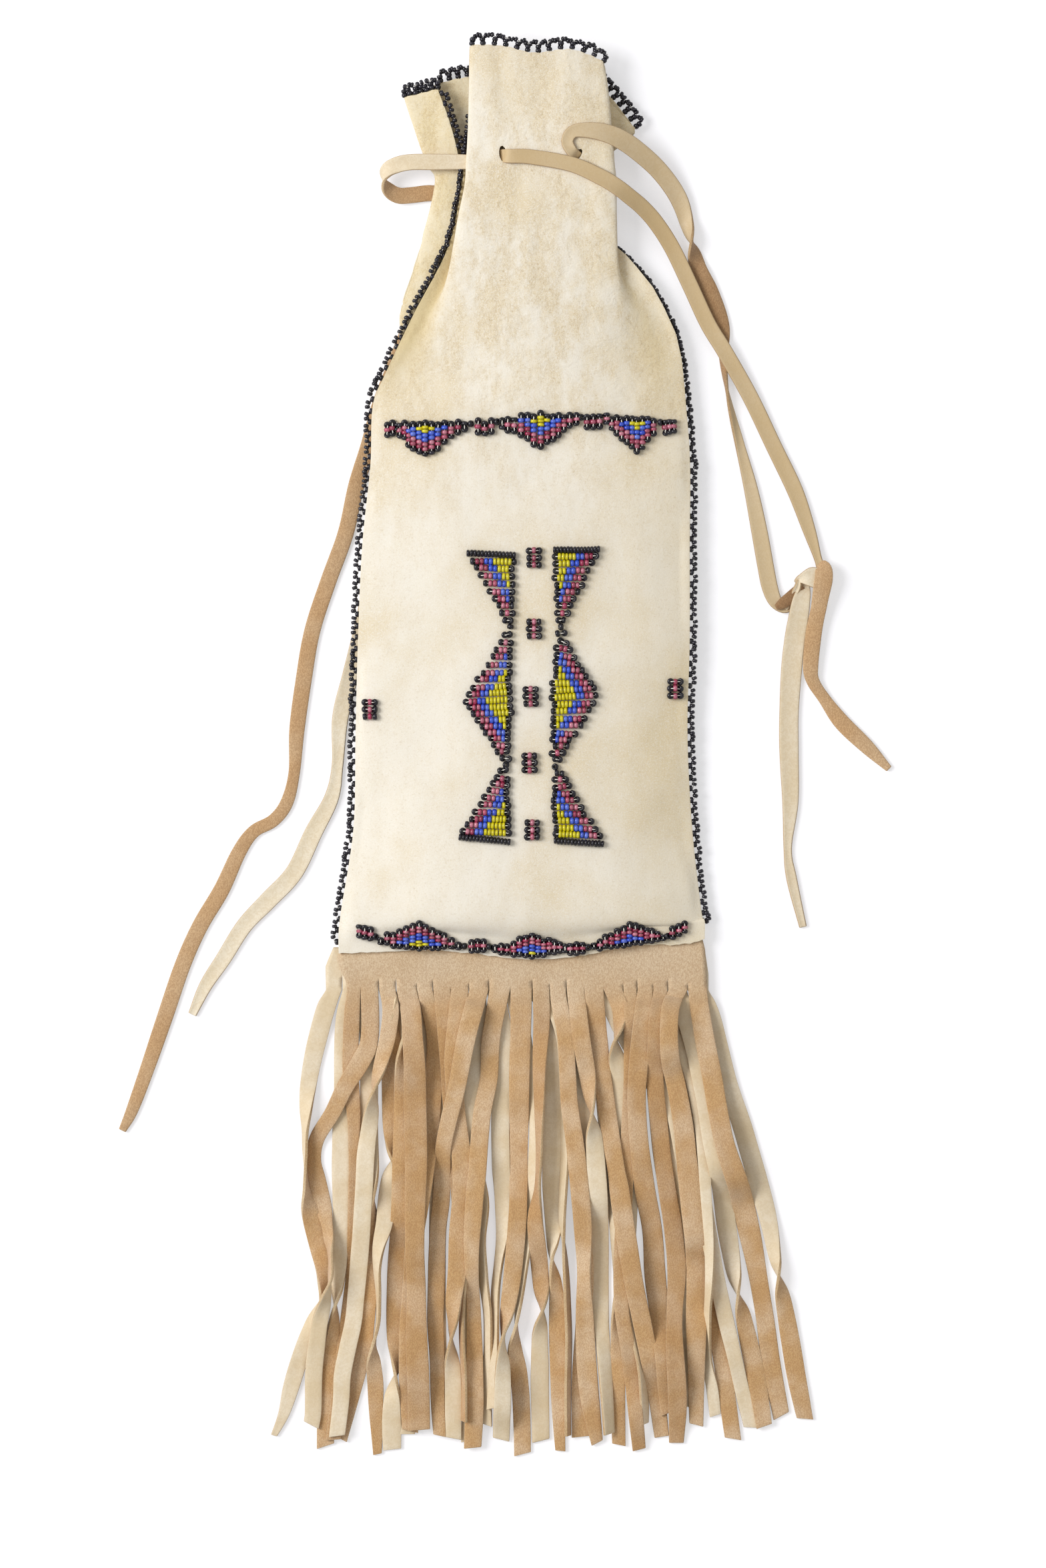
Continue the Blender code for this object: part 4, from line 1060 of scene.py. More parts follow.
def ribbon(line: np.ndarray, spans: int, cup: float) -> np.ndarray:
    """Grid of a flat strip along a line.

    Args:
        line: Samples of point, width and turn.
        spans: Faces across the strip.
        cup: How far the strip's edges curl from its middle.

    Returns:
        Grid of points, one row for each sample.
    """
    step = np.gradient(line[:, :3], axis=0)
    step /= np.maximum(np.linalg.norm(step, axis=1, keepdims=True), 1e-12)
    side = np.cross(np.array([0.0, 0.0, 1.0]), step)
    side = side / np.maximum(np.linalg.norm(side, axis=1, keepdims=True), 1e-9)
    up = np.cross(step, side)
    turn = line[:, 4:5]
    across = side * np.cos(turn) + up * np.sin(turn)
    out = up * np.cos(turn) - side * np.sin(turn)
    share = np.linspace(-1.0, 1.0, spans + 1)[None, :, None]
    curl = cup * (share ** 2 - 0.4)
    half = (line[:, 3] / 2)[:, None, None]
    return line[:, None, :3] + across[:, None] * share * half + out[:, None] * curl


def tones(thing: bpy.types.Object, values: np.ndarray, name: str = "tone") -> None:
    """Store a value from 0 to 1 for each point of a piece, which its material reads."""
    layer = thing.data.attributes.new(name, "FLOAT", "POINT")
    layer.data.foreach_set("value", np.clip(values, 0.0, 1.0).astype(np.float32))


RIGHT_THONG = (
    (750, 238, 10.3, 0.85), (757, 238, 11.85), (764, 239, 13.35, 0.88), (795, 240, 13.5, 0.92),
    (856, 251, 13.5, 0.95), (900, 270, 13.1, 1.0), (924, 284, 12.3), (943, 298, 10.4),
    (963, 314, 7.9), (984, 337, 5.6), (1008, 374, 3.6), (1035, 430, 2.7), (1061, 486),
    (1087, 529, 2.8), (1125, 596, 1.6), (1160, 669, 0.9), (1192, 736), (1213, 795, 1.2, 0.8),
    (1225, 834, 2.0, 0.5), (1229, 848, 3.0), (1230, 858, 3.2),
)
LOOPED_THONG = (
    (869, 242, 10.2, 0.7), (863, 237, 11.85), (857, 232, 13.5), (850, 217, 13.6, 0.75),
    (858, 203, 13.6, 0.8), (877, 200, 13.5, 0.95), (902, 203, 12.9, 1.1), (928, 212, 11.4, 1.2),
    (956, 230, 8.6), (989, 259, 5.0, 1.15), (1017, 298, 2.4, 1.1), (1032, 344, 1.2, 0.9, 40),
    (1045, 397, 0.9, 1.0, 180), (1066, 440), (1083, 491, 0.9, 0.9), (1085, 548, 0.9, 0.5, 225),
    (1093, 602, 0.9, 0.5, 290), (1109, 666, 0.9, 0.6, 345), (1125, 730, 0.9, 0.85, 360),
    (1138, 794, 0.9, 1.0), (1148, 850, 0.9, 1.02), (1154, 880, 0.9, 1.0), (1162, 901, 0.9, 0.85),
    (1174, 912, 1.0, 0.6), (1187, 912, 1.1, 0.4),
)
LEFT_LONG_THONG = (
    (745, 239, 10.3, 0.85), (731, 242, 10.1), (718, 245, 9.6, 0.9), (706, 246, 8.95),
    (690, 246, 8.8, 0.95), (650, 246, 8.5, 1.0), (616, 246, 8.0), (595, 250, 7.3),
    (580, 258, 6.4, 0.95, 25), (575, 271, 4.9, 0.9, 85), (582, 285, 3.5, 0.95, 150),
    (597, 294, 2.4, 1.0, 180), (618, 293, 1.6), (644, 290, 1.0), (662, 293, 0.9, 0.9), (674, 306),
    (672, 328, 0.9, 1.0), (656, 370), (638, 420), (616, 485), (592, 548), (568, 612), (552, 670),
    (534, 728), (518, 800), (492, 872), (468, 946), (455, 1020), (445, 1094, 0.9, 0.95),
    (441, 1158, 0.9, 0.7), (430, 1203, 0.9, 0.8), (410, 1230), (380, 1247), (358, 1278, 0.9, 0.9),
    (332, 1334, 0.9, 1.0), (300, 1388), (274, 1446), (248, 1522), (222, 1598, 0.9, 0.9),
    (198, 1664, 0.9, 0.75), (183, 1695, 0.9, 0.45),
)
LEFT_SHORT_THONG = (
    (873, 245, 10.1, 0.7), (886, 249, 9.8, 0.75), (898, 252, 9.3), (907, 253, 8.3),
    (911, 254, 6.2), (909, 255, 3.6), (901, 256, 1.6), (885, 257, 0.9, 0.9), (845, 259, 0.9, 1.0),
    (795, 264), (748, 276), (714, 300), (696, 340), (676, 396), (656, 452), (634, 516),
    (610, 586), (592, 654), (580, 724), (569, 796), (557, 868), (543, 940), (525, 1013),
    (510, 1076), (506, 1146, 0.9, 0.7), (497, 1196, 0.9, 0.9), (470, 1248, 0.9, 1.1), (441, 1308),
    (402, 1350), (366, 1388, 0.9, 1.0), (335, 1437, 0.9, 0.95), (308, 1478, 0.9, 0.8),
    (288, 1521, 0.9, 0.5),
)
LONG_TAIL = (
    (1207, 870, 1.0, 0.5), (1206, 880, 1.6, 0.7), (1204, 889, 2.7, 0.95), (1201, 900, 3.2, 1.1),
    (1199, 912, 3.0, 1.2), (1196, 931, 2.2, 1.25), (1192, 955, 1.4, 1.28), (1187, 1000, 0.9, 1.3),
    (1183, 1069, 0.9, 1.2), (1183, 1126), (1185, 1203, 0.9, 1.0), (1181, 1272, 0.9, 0.5),
    (1187, 1318, 0.9, 0.65), (1204, 1390, 0.9, 0.45),
)
SHORT_TAIL = (
    (1229, 846, 3.0, 0.5, 180), (1232, 849, 4.2, 0.9), (1234.5, 857, 5.2, 1.08),
    (1234, 870, 5.2, 1.13), (1231.5, 884, 4.6, 1.1), (1229, 899, 4.0, 1.02),
    (1227, 912, 3.4, 0.97), (1223, 931, 2.9), (1219, 955, 2.6, 1.0), (1215, 1000, 2.2, 0.95),
    (1219, 1022, 1.7, 0.8), (1236, 1048, 1.0, 0.75), (1262, 1083, 0.9, 1.0),
    (1300, 1120, 0.9, 0.9), (1333, 1153, 0.9, 0.4),
)
KNOT_LAPS = (
    (0.95, ((1163, 911, 2.3, 0.25, 180), (1172, 906, 2.6, 0.62, 180), (1182, 898, 2.8, 0.7, 180),
            (1192, 888, 2.6, 0.6, 180), (1202, 878, 2.2, 0.5, 180))),
    (0.1, ((1236, 868, 3.2, 1.2, 0), (1226, 867, 3.9, 1.25, 0), (1216, 866, 4.2, 1.25, 0),
           (1208, 867, 4.1, 0.95, 0), (1202, 868, 3.4, 0.62, 0), (1197, 870, 2.2, 0.4, 0),
           (1194, 874, 1.2, 0.3, 0))),
    (0.3, ((1198, 870, 2.6, 0.25, 0), (1196, 880, 3.0, 0.4, 0), (1191, 890, 2.9, 0.42, 0),
           (1184, 902, 2.2, 0.35, 0), (1178, 914, 1.4, 0.3, 0))),
)


def build_thongs(finishes: Finishes) -> None:
    """Model the drawstring thongs and the overhand knot that joins two of them."""
    build_knot(finishes)
    # The looped thong's tone of 0.66 darkens it partly as its darker suede and partly as painted
    # shade on its suede side.
    for name, node, route, end, tone in (
        ("right_thong_strip", "right_thong", RIGHT_THONG, "knot", 0.8),
        ("looped_thong_strip", "looped_thong", LOOPED_THONG, "knot", 0.66),
        ("left_long_strip", "left_long_thong", LEFT_LONG_THONG, "bare", 0.22),
        ("left_short_strip", "left_short_thong", LEFT_SHORT_THONG, "bare", 0.0),
        ("long_tail_strip", "right_long_tail", LONG_TAIL, "bare", 0.25),
        ("short_tail_strip", "right_short_tail", SHORT_TAIL, "bare", 0.1),
    ):
        Thong(name, node, route, end, tone).build(finishes.thong_sides())


def build_knot(finishes: Finishes) -> bpy.types.Object:
    """Model the knot as laps of thong that fold over each other.

    Args:
        finishes: The bag's materials.

    Returns:
        The knot.
    """
    laps = [
        Thong(f"knot_lap_{number}", "thong_knot", route, "knot", tone, KNOT_CUP).strip(
            finishes.thong_sides())
        for number, (tone, route) in enumerate(KNOT_LAPS)
    ]
    deselect()
    for lap in laps:
        lap.select_set(True)
    bpy.context.view_layer.objects.active = laps[0]
    bpy.ops.object.join()
    laps[0].name = "knot_folds"
    return settle(laps[0], "bag", ["thong_knot"])


# Fringe


@dataclass
class Terrain:
    """Height map that strands are laid on, one after the other."""

    low: tuple[float, float] = (-0.110, -0.300)
    cell: float = 0.5 * MM
    size: tuple[int, int] = (480, 450)
    steps: int = 5
    shares: int = 15
    covered: float = 0.84

    def __post_init__(self) -> None:
        """Start with a bare table."""
        self.heights = np.zeros(self.size)

    def cells(self, points: np.ndarray) -> tuple[np.ndarray, np.ndarray]:
        """Row and column numbers of points."""
        spots = (points[..., :2] - np.array(self.low)) / self.cell
        spots = np.clip(spots.astype(int), 0, np.array(self.size) - 1)
        return spots[..., 0], spots[..., 1]

    def under(self, points: np.ndarray) -> np.ndarray:
        """Heights below points."""
        return self.heights[self.cells(points)]

    def raise_to(self, line: np.ndarray, half: np.ndarray, top: np.ndarray) -> None:
        """Raise the map to the tops of a strand that has been laid, without leaving holes in it.

        Args:
            line: Points along the middle of the strand.
            half: Half of its width on the table at each point.
            top: Height of its upper side at each point.
        """
        for step in np.linspace(0.0, 1.0, self.steps):
            spots, reach, tops = (
                values[:-1] * (1 - step) + values[1:] * step for values in (line, half, top))
            for share in np.linspace(-self.covered, self.covered, self.shares):
                cells = self.cells(spots + ACROSS * reach * share)
                np.maximum.at(self.heights, cells, tops)


HEADER_END = 1484
SLIT_TAPER = 26
HALF_SHEET = HIDE_THICKNESS * 0.55


@dataclass
class Strand:
    """One strand of fringe: its root's two columns, the row where its slit starts, and its keys.

    Each key is (x pixel, y pixel, width in pixels, turn in degrees), less what stays as before.
    """

    left: float
    right: float
    top: float
    tone: float
    keys: tuple


@dataclass
class Fringe:
    """One layer of fringe: a header sewn under the hem, cut into strands that lie loose."""

    name: str
    body: str
    nodes: tuple[str, str]
    slot: str
    header_height: float
    strands: list[Strand]
    header_top: float = 1398
    left_flare: tuple = ((0, 0),)
    right_flare: tuple = ((0, 0),)
    spans: int = 4
    step: float = 1.4 * MM
    slit_pixels: float = 0.7
    root_rise: float = 0.6
    root_rows: float = 8
    root_run: float = 7 * MM
    hang_run: float = 26 * MM
    sway: tuple[float, float] = (28 * MM, 0.35)
    sway_run: float = 20 * MM
    flutter: tuple[float, float] = (24 * MM, 0.25)
    cup: tuple[float, float] = (30 * MM, 0.25)
    shading: tuple[float, float] = (30 * MM, 0.12)
    rest_reach: int = 3
    tips: tuple = ((1, 1.0), (2, 0.6), (3, 0.25))
    tip_slant: float = 0.16
    rounding: float = 0.28 * MM
    weld: float = 0.05 * MM
    flat_length: float = 0.178
    seed: float = 2.0

    def centre_line(self, strand: Strand, terrain: Terrain) -> tuple[np.ndarray, np.ndarray]:
        """Lay one strand on what is already there.

        Args:
            strand: The strand.
            terrain: Heights of what lies under it, which this strand is then added to.

        Returns:
            Samples of point, width and turn from the slit's top down, and the grid of the strip.
        """
        root = ((strand.left + strand.right) / 2, HEADER_END, strand.right - strand.left, 0)
        lower = [key for key in fill_in(strand.keys, 4) if key[1] > HEADER_END + self.root_rows]
        keys = [(*SCALE.place(x, y), width * SCALE.across, math.radians(turn))
                for x, y, width, turn in (root, *lower)]
        line = resample(spline(np.array(keys), 8), self.step)
        run = np.arange(len(line)) * self.step
        sway = swells(line[:, :3] + strand.left, self.sway, self.seed)
        line[:, 0] += sway * smoothstep(0, self.sway_run, run)
        half = line[:, 3:4] / 2 * np.abs(np.cos(line[:, 4:5]))
        base = np.max([terrain.under(line[:, :3] + ACROSS * half * share)
                       for share in np.linspace(-0.78, 0.78, 11)], axis=0)
        edge = np.abs(np.sin(line[:, 4])) * line[:, 3] / 2 * 0.8
        want = base + HALF_SHEET + edge
        reach = self.rest_reach
        padded = np.concatenate([np.full(reach, want[0]), want, np.full(reach, want[-1])])
        want = np.max([padded[i:i + len(want)] for i in range(2 * reach + 1)], axis=0)
        want = soften(want, 5)
        hang = self.header_height * smoothstep(self.hang_run, 0.0, run)
        line[:, 2] = np.maximum(want * smoothstep(0.0, self.root_run, run), hang)
        size, height = self.flutter
        flutter = waves(line[:, :3] + strand.left * 2, size, self.seed + 5) + 0.5
        line[:, 2] += flutter * height * MM
        line[:, 2] = np.maximum(line[:, 2], HALF_SHEET + edge)
        line[:, 2] = np.minimum(line[:, 2], self.header_height + self.root_rise * run + edge)
        size, height = self.cup
        cup = height * MM * waves(line[:, :3], size, self.seed + strand.left)[:, None, None]
        grid = ribbon(line, self.spans, 1.0)
        flat = ribbon(line, self.spans, 0.0)
        grid = flat + (grid - flat) * cup
        ahead = line[-1, :3] - line[-4, :3]
        slant = math.sin(strand.left * 12.9) * self.tip_slant
        slant = ahead / np.linalg.norm(ahead) * slant * line[-1, 3]
        for back, weight in self.tips:
            grid[-back] += np.linspace(-1, 1, self.spans + 1)[:, None] * slant * weight
        terrain.raise_to(line[:, :3], half, line[:, 2] + HIDE_THICKNESS * 0.5 + edge * 0.5)
        return line, grid

    def header(self, strand: Strand, slits: dict[float, float]) -> np.ndarray:
        """Rows of the header above a strand, from under the hem to the end of the header.

        Args:
            strand: The strand.
            slits: Pixel row where the slit at each root column starts.

        Returns:
            Grid of points, drawn in from the slits below the rows where they start.
        """
        count = int(round((HEADER_END - self.header_top) * SCALE.along / self.step)) + 1
        rows = np.linspace(self.header_top, HEADER_END, count)
        grid = np.zeros((count, self.spans + 1, 3))
        for i, row in enumerate(rows):
            opened = [float(smoothstep(slits[x], slits[x] + SLIT_TAPER, row))
                      for x in (strand.left, strand.right)]
            left = strand.left + self.slit_pixels * opened[0]
            right = strand.right - self.slit_pixels * opened[1]
            left += float(np.interp(row, *zip(*self.left_flare))) * (strand.left == min(slits))
            right += float(np.interp(row, *zip(*self.right_flare))) * (strand.right == max(slits))
            for j, share in enumerate(np.linspace(0.0, 1.0, self.spans + 1)):
                grid[i, j] = SCALE.place(left + (right - left) * share, row, self.header_height)
        return grid

    def build(self, materials: list[bpy.types.Material], terrain: Terrain) -> bpy.types.Object:
        """Args:
            materials: Upper side, lower side and cut edge.
            terrain: Heights of what lies under it.

        Returns:
            The finished layer.
        """
        slits = {strand.right: HEADER_END for strand in self.strands}
        slits.update({strand.left: strand.top for strand in self.strands})
        vertices, faces, shades = [], [], []
        count = 0
        for number, strand in enumerate(self.strands):
            header = self.header(strand, slits)
            line, grid = self.centre_line(strand, terrain)
            ease = smoothstep(0.0, self.root_run, np.arange(len(grid)) * self.step)[:, None, None]
            root = header[-1] + (grid - grid[:1])
            grid = root * (1 - ease) + grid * ease
            rows = np.concatenate([header, grid[1:]])
            vertices.append(rows.reshape(-1, 3))
            faces.append(grid_faces(len(rows), self.spans + 1, count))
            count += rows.shape[0] * rows.shape[1]
            size, share = self.shading
            shade = strand.tone + share * waves(rows[:, 0] + number, size, self.seed + 40)
            shade = shade * smoothstep(0, 14, np.arange(len(rows)))
            shades.append(np.repeat(shade, self.spans + 1))
        points = np.concatenate(vertices)
        thing = mesh_piece(self.name, points, np.concatenate(faces)[:, ::-1], materials)
        tones(thing, np.concatenate(shades))
        shape = bmesh.new()
        shape.from_mesh(thing.data)
        header_end = SCALE.place(0, HEADER_END - 1).y
        header_corners = [v for v in shape.verts if v.co.y > header_end]
        bmesh.ops.remove_doubles(shape, verts=header_corners, dist=self.weld)
        shape.to_mesh(thing.data)
        shape.free()
        give_thickness(thing, self.rounding, rounded_below=header_end)
        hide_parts(*self.nodes)
        start, end = ((0, SCALE.place(0, row).y, self.header_height) for row in FOLD_ROWS)
        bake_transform(thing)
        LOG.info("%s: %d strands, %d faces", self.name, len(self.strands), len(thing.data.polygons))
        return thing


FRONT_STRANDS = (
    (520, 541, 1464, 0.25, (
        (529, 1477, 21), (527, 1528, 24), (525, 1579), (526, 1630), (531, 1681, 20),
        (530, 1732, 15), (531, 1800, 18), (531, 1900, 24), (520, 2000, 25), (508, 2090, 24),
        (500, 2158, 22))),
    (541, 568, 1543, 0.1, (
        (554, 1556, 27), (541, 1591, 28), (517, 1630, 26), (498, 1668, 24), (475, 1706, 23),
        (470, 1739), (476, 1770, 26), (485, 1810, 25), (491, 1840, 17, 10), (495, 1874, 24, 75),
        (495, 1914, 24, 80), (488, 1946, 22, 130), (479, 1981, 24, 180), (474, 2021, 26),
        (471, 2061), (470, 2115, 25), (467, 2136, 24))),
    (568, 594, 1462, 0.0, (
        (583, 1476, 25), (586, 1515), (581, 1558, 24), (570, 1599, 22, 30), (561, 1630, 22, 80),
        (557, 1660, 24, 140), (552, 1700, 25, 180), (549, 1732, 27), (547, 1780), (543, 1834),
        (538, 1887), (533, 1941, 26), (530, 1981), (522, 2021), (514, 2061), (511, 2101, 25),
        (505, 2152, 24))),
    (625, 649, 1470, 0.12, (
        (641, 1489, 24), (648, 1528, 25), (652, 1566), (651, 1604, 26), (649, 1642), (646, 1681),
        (642, 1719), (636, 1770), (622, 1850), (616, 1920), (612, 1990), (612, 2060),
        (616, 2145, 24))),
    (594, 625, 1461, 0.3, (
        (611, 1477, 30), (616, 1515, 31), (619, 1553), (622, 1604, 33), (623, 1655, 34),
        (624, 1706), (624, 1757, 33), (622, 1860, 29), (624, 1941), (625, 2021, 33), (628, 2088),
        (629, 2143))),
    (649, 676, 1463, 0.2, (
        (662, 1489, 26), (668, 1540, 25), (672, 1600), (676, 1660), (684, 1740), (690, 1820, 24),
        (693, 1880, 24, 40), (693, 1954, 24, 75), (692, 2008, 24, 78), (695, 2061, 24, 75),
        (696, 2130, 22, 70))),
    (676, 703, 1474, 0.1, (
        (690, 1489, 27), (684, 1540), (680, 1590), (682, 1640), (687, 1690, 28), (692, 1740, 30),
        (694, 1790, 32), (690, 1847), (686, 1900, 29), (681, 1941, 25, 10), (679, 1975, 24, 50),
        (676, 2010, 24, 95), (678, 2061, 25, 175), (679, 2115, 25, 180), (680, 2156, 24))),
    (703, 733, 1466, 0.05, (
        (716, 1489, 29), (706, 1528), (698, 1566, 28), (691, 1604, 27), (683, 1642, 26),
        (673, 1681, 25), (665, 1719, 24), (663, 1757, 25), (661, 1800, 26), (656, 1847, 25),
        (654, 1914, 26), (653, 1981, 25), (655, 2034, 23), (657, 2101, 21), (659, 2152, 19))),
    (733, 765, 1462, 0.0, (
        (748, 1489, 30), (741, 1528, 28), (736, 1566), (733, 1617, 27), (724, 1661), (719, 1706),
        (715, 1757), (710, 1800), (707, 1860, 24), (708, 1914, 20), (711, 1981, 22),
        (711, 2034, 25), (711, 2101, 28), (709, 2170, 26))),
    (765, 798, 1472, 0.08, (
        (781, 1489, 31), (780, 1553), (778, 1617), (778, 1681, 29), (777, 1732, 28),
        (777, 1780, 27), (774, 1844, 28), (769, 1908, 27), (762, 1956, 24, 20),
        (755, 2001, 22, 85), (754, 2052, 24, 160), (753, 2101, 26, 180), (751, 2158, 25))),
    (798, 824, 1464, 0.35, (
        (811, 1489, 25), (812, 1528), (810, 1579, 23, 20), (809, 1630, 21, 35),
        (808, 1681, 22, 60), (808, 1732, 22, 72), (806, 1783), (802, 1828, 24, 20),
        (806, 1876, 26, 0), (811, 1924, 25, 10), (813, 1960, 23, 80), (809, 2004, 24, 170),
        (809, 2052, 27, 180), (810, 2101), (811, 2160, 26))),
    (824, 849, 1470, 0.05, (
        (838, 1502, 25), (847, 1553), (851, 1604), (854, 1655, 26), (861, 1706, 27),
        (866, 1757, 28), (869, 1790), (873, 1844, 27), (875, 1908, 21, 20), (876, 1972, 27, 0),
        (878, 2036, 30), (884, 2101, 28), (895, 2163, 18))),
    (905, 934, 1478, 0.1, (
        (922, 1490, 28), (930, 1512, 26, 20), (927, 1540, 24, 60), (921, 1562, 24, 100),
        (924, 1590, 26, 165), (930, 1617, 27, 180), (933, 1655), (937, 1693), (941, 1732, 26),
        (945, 1775, 24), (944, 1830), (940, 1890, 22, 150), (942, 1956, 22, 120),
        (952, 2004, 22, 115), (961, 2052, 22, 110), (966, 2101, 22, 120), (966, 2134, 18))),
    (934, 955, 1466, 0.25, (
        (944, 1489, 21), (946, 1528), (946, 1580, 22), (945, 1650), (941, 1720), (937, 1800),
        (932, 1880), (932, 1960), (942, 2020), (948, 2068), (953, 2117), (958, 2173, 20))),
    (849, 876, 1462, 0.0, (
        (862, 1489, 26), (871, 1553, 27), (879, 1604, 26), (884, 1642, 22, 40),
        (888, 1672, 22, 95), (891, 1706, 26, 160), (894, 1757, 29, 180), (897, 1800, 28),
        (899, 1860, 26), (900, 1940, 25), (903, 2004, 22, 170), (907, 2068, 22, 150),
        (913, 2149, 20, 140))),
    (876, 905, 1478, 0.1, (
        (891, 1489, 28), (896, 1553, 27), (902, 1604, 26), (908, 1655, 27), (916, 1706),
        (924, 1757), (929, 1785, 30), (940, 1860), (950, 1924, 28), (963, 1988), (976, 2052, 27),
        (985, 2101, 25), (992, 2154, 22))),
    (955, 979, 1462, 0.2, (
        (968, 1477, 24), (963, 1528, 27), (958, 1579, 29), (955, 1630, 28), (956, 1681),
        (960, 1732, 29), (966, 1783, 31), (977, 1844, 30), (982, 1908, 32), (989, 1972, 30),
        (994, 2020, 28), (998, 2068, 26), (1002, 2118, 24))),
    (979, 1001, 1470, 0.4, (
        (989, 1480, 22), (984, 1528, 24), (982, 1579, 25), (983, 1630, 26), (987, 1681, 27),
        (992, 1732), (999, 1785), (1009, 1844, 28), (1014, 1908), (1011, 1972, 24),
        (1013, 2036, 27), (1016, 2101, 28), (1014, 2163, 22))),
    (1001, 1031, 1463, 0.08, (
        (1014, 1477, 29), (1004, 1515, 27), (1004, 1579, 28), (1014, 1630, 29), (1023, 1681, 30),
        (1028, 1732, 31), (1034, 1785, 32), (1041, 1860, 30), (1043, 1924, 29), (1043, 1988, 31),
        (1044, 2052, 26), (1044, 2136, 21))),
    (1031, 1060, 1468, 0.05, (
        (1046, 1480, 29), (1049, 1515), (1058, 1566, 30), (1067, 1617), (1076, 1668),
        (1087, 1719), (1108, 1780, 33), (1123, 1844), (1136, 1908, 28), (1144, 1956, 27),
        (1153, 2020, 28), (1163, 2078, 27), (1171, 2123, 25))),
)
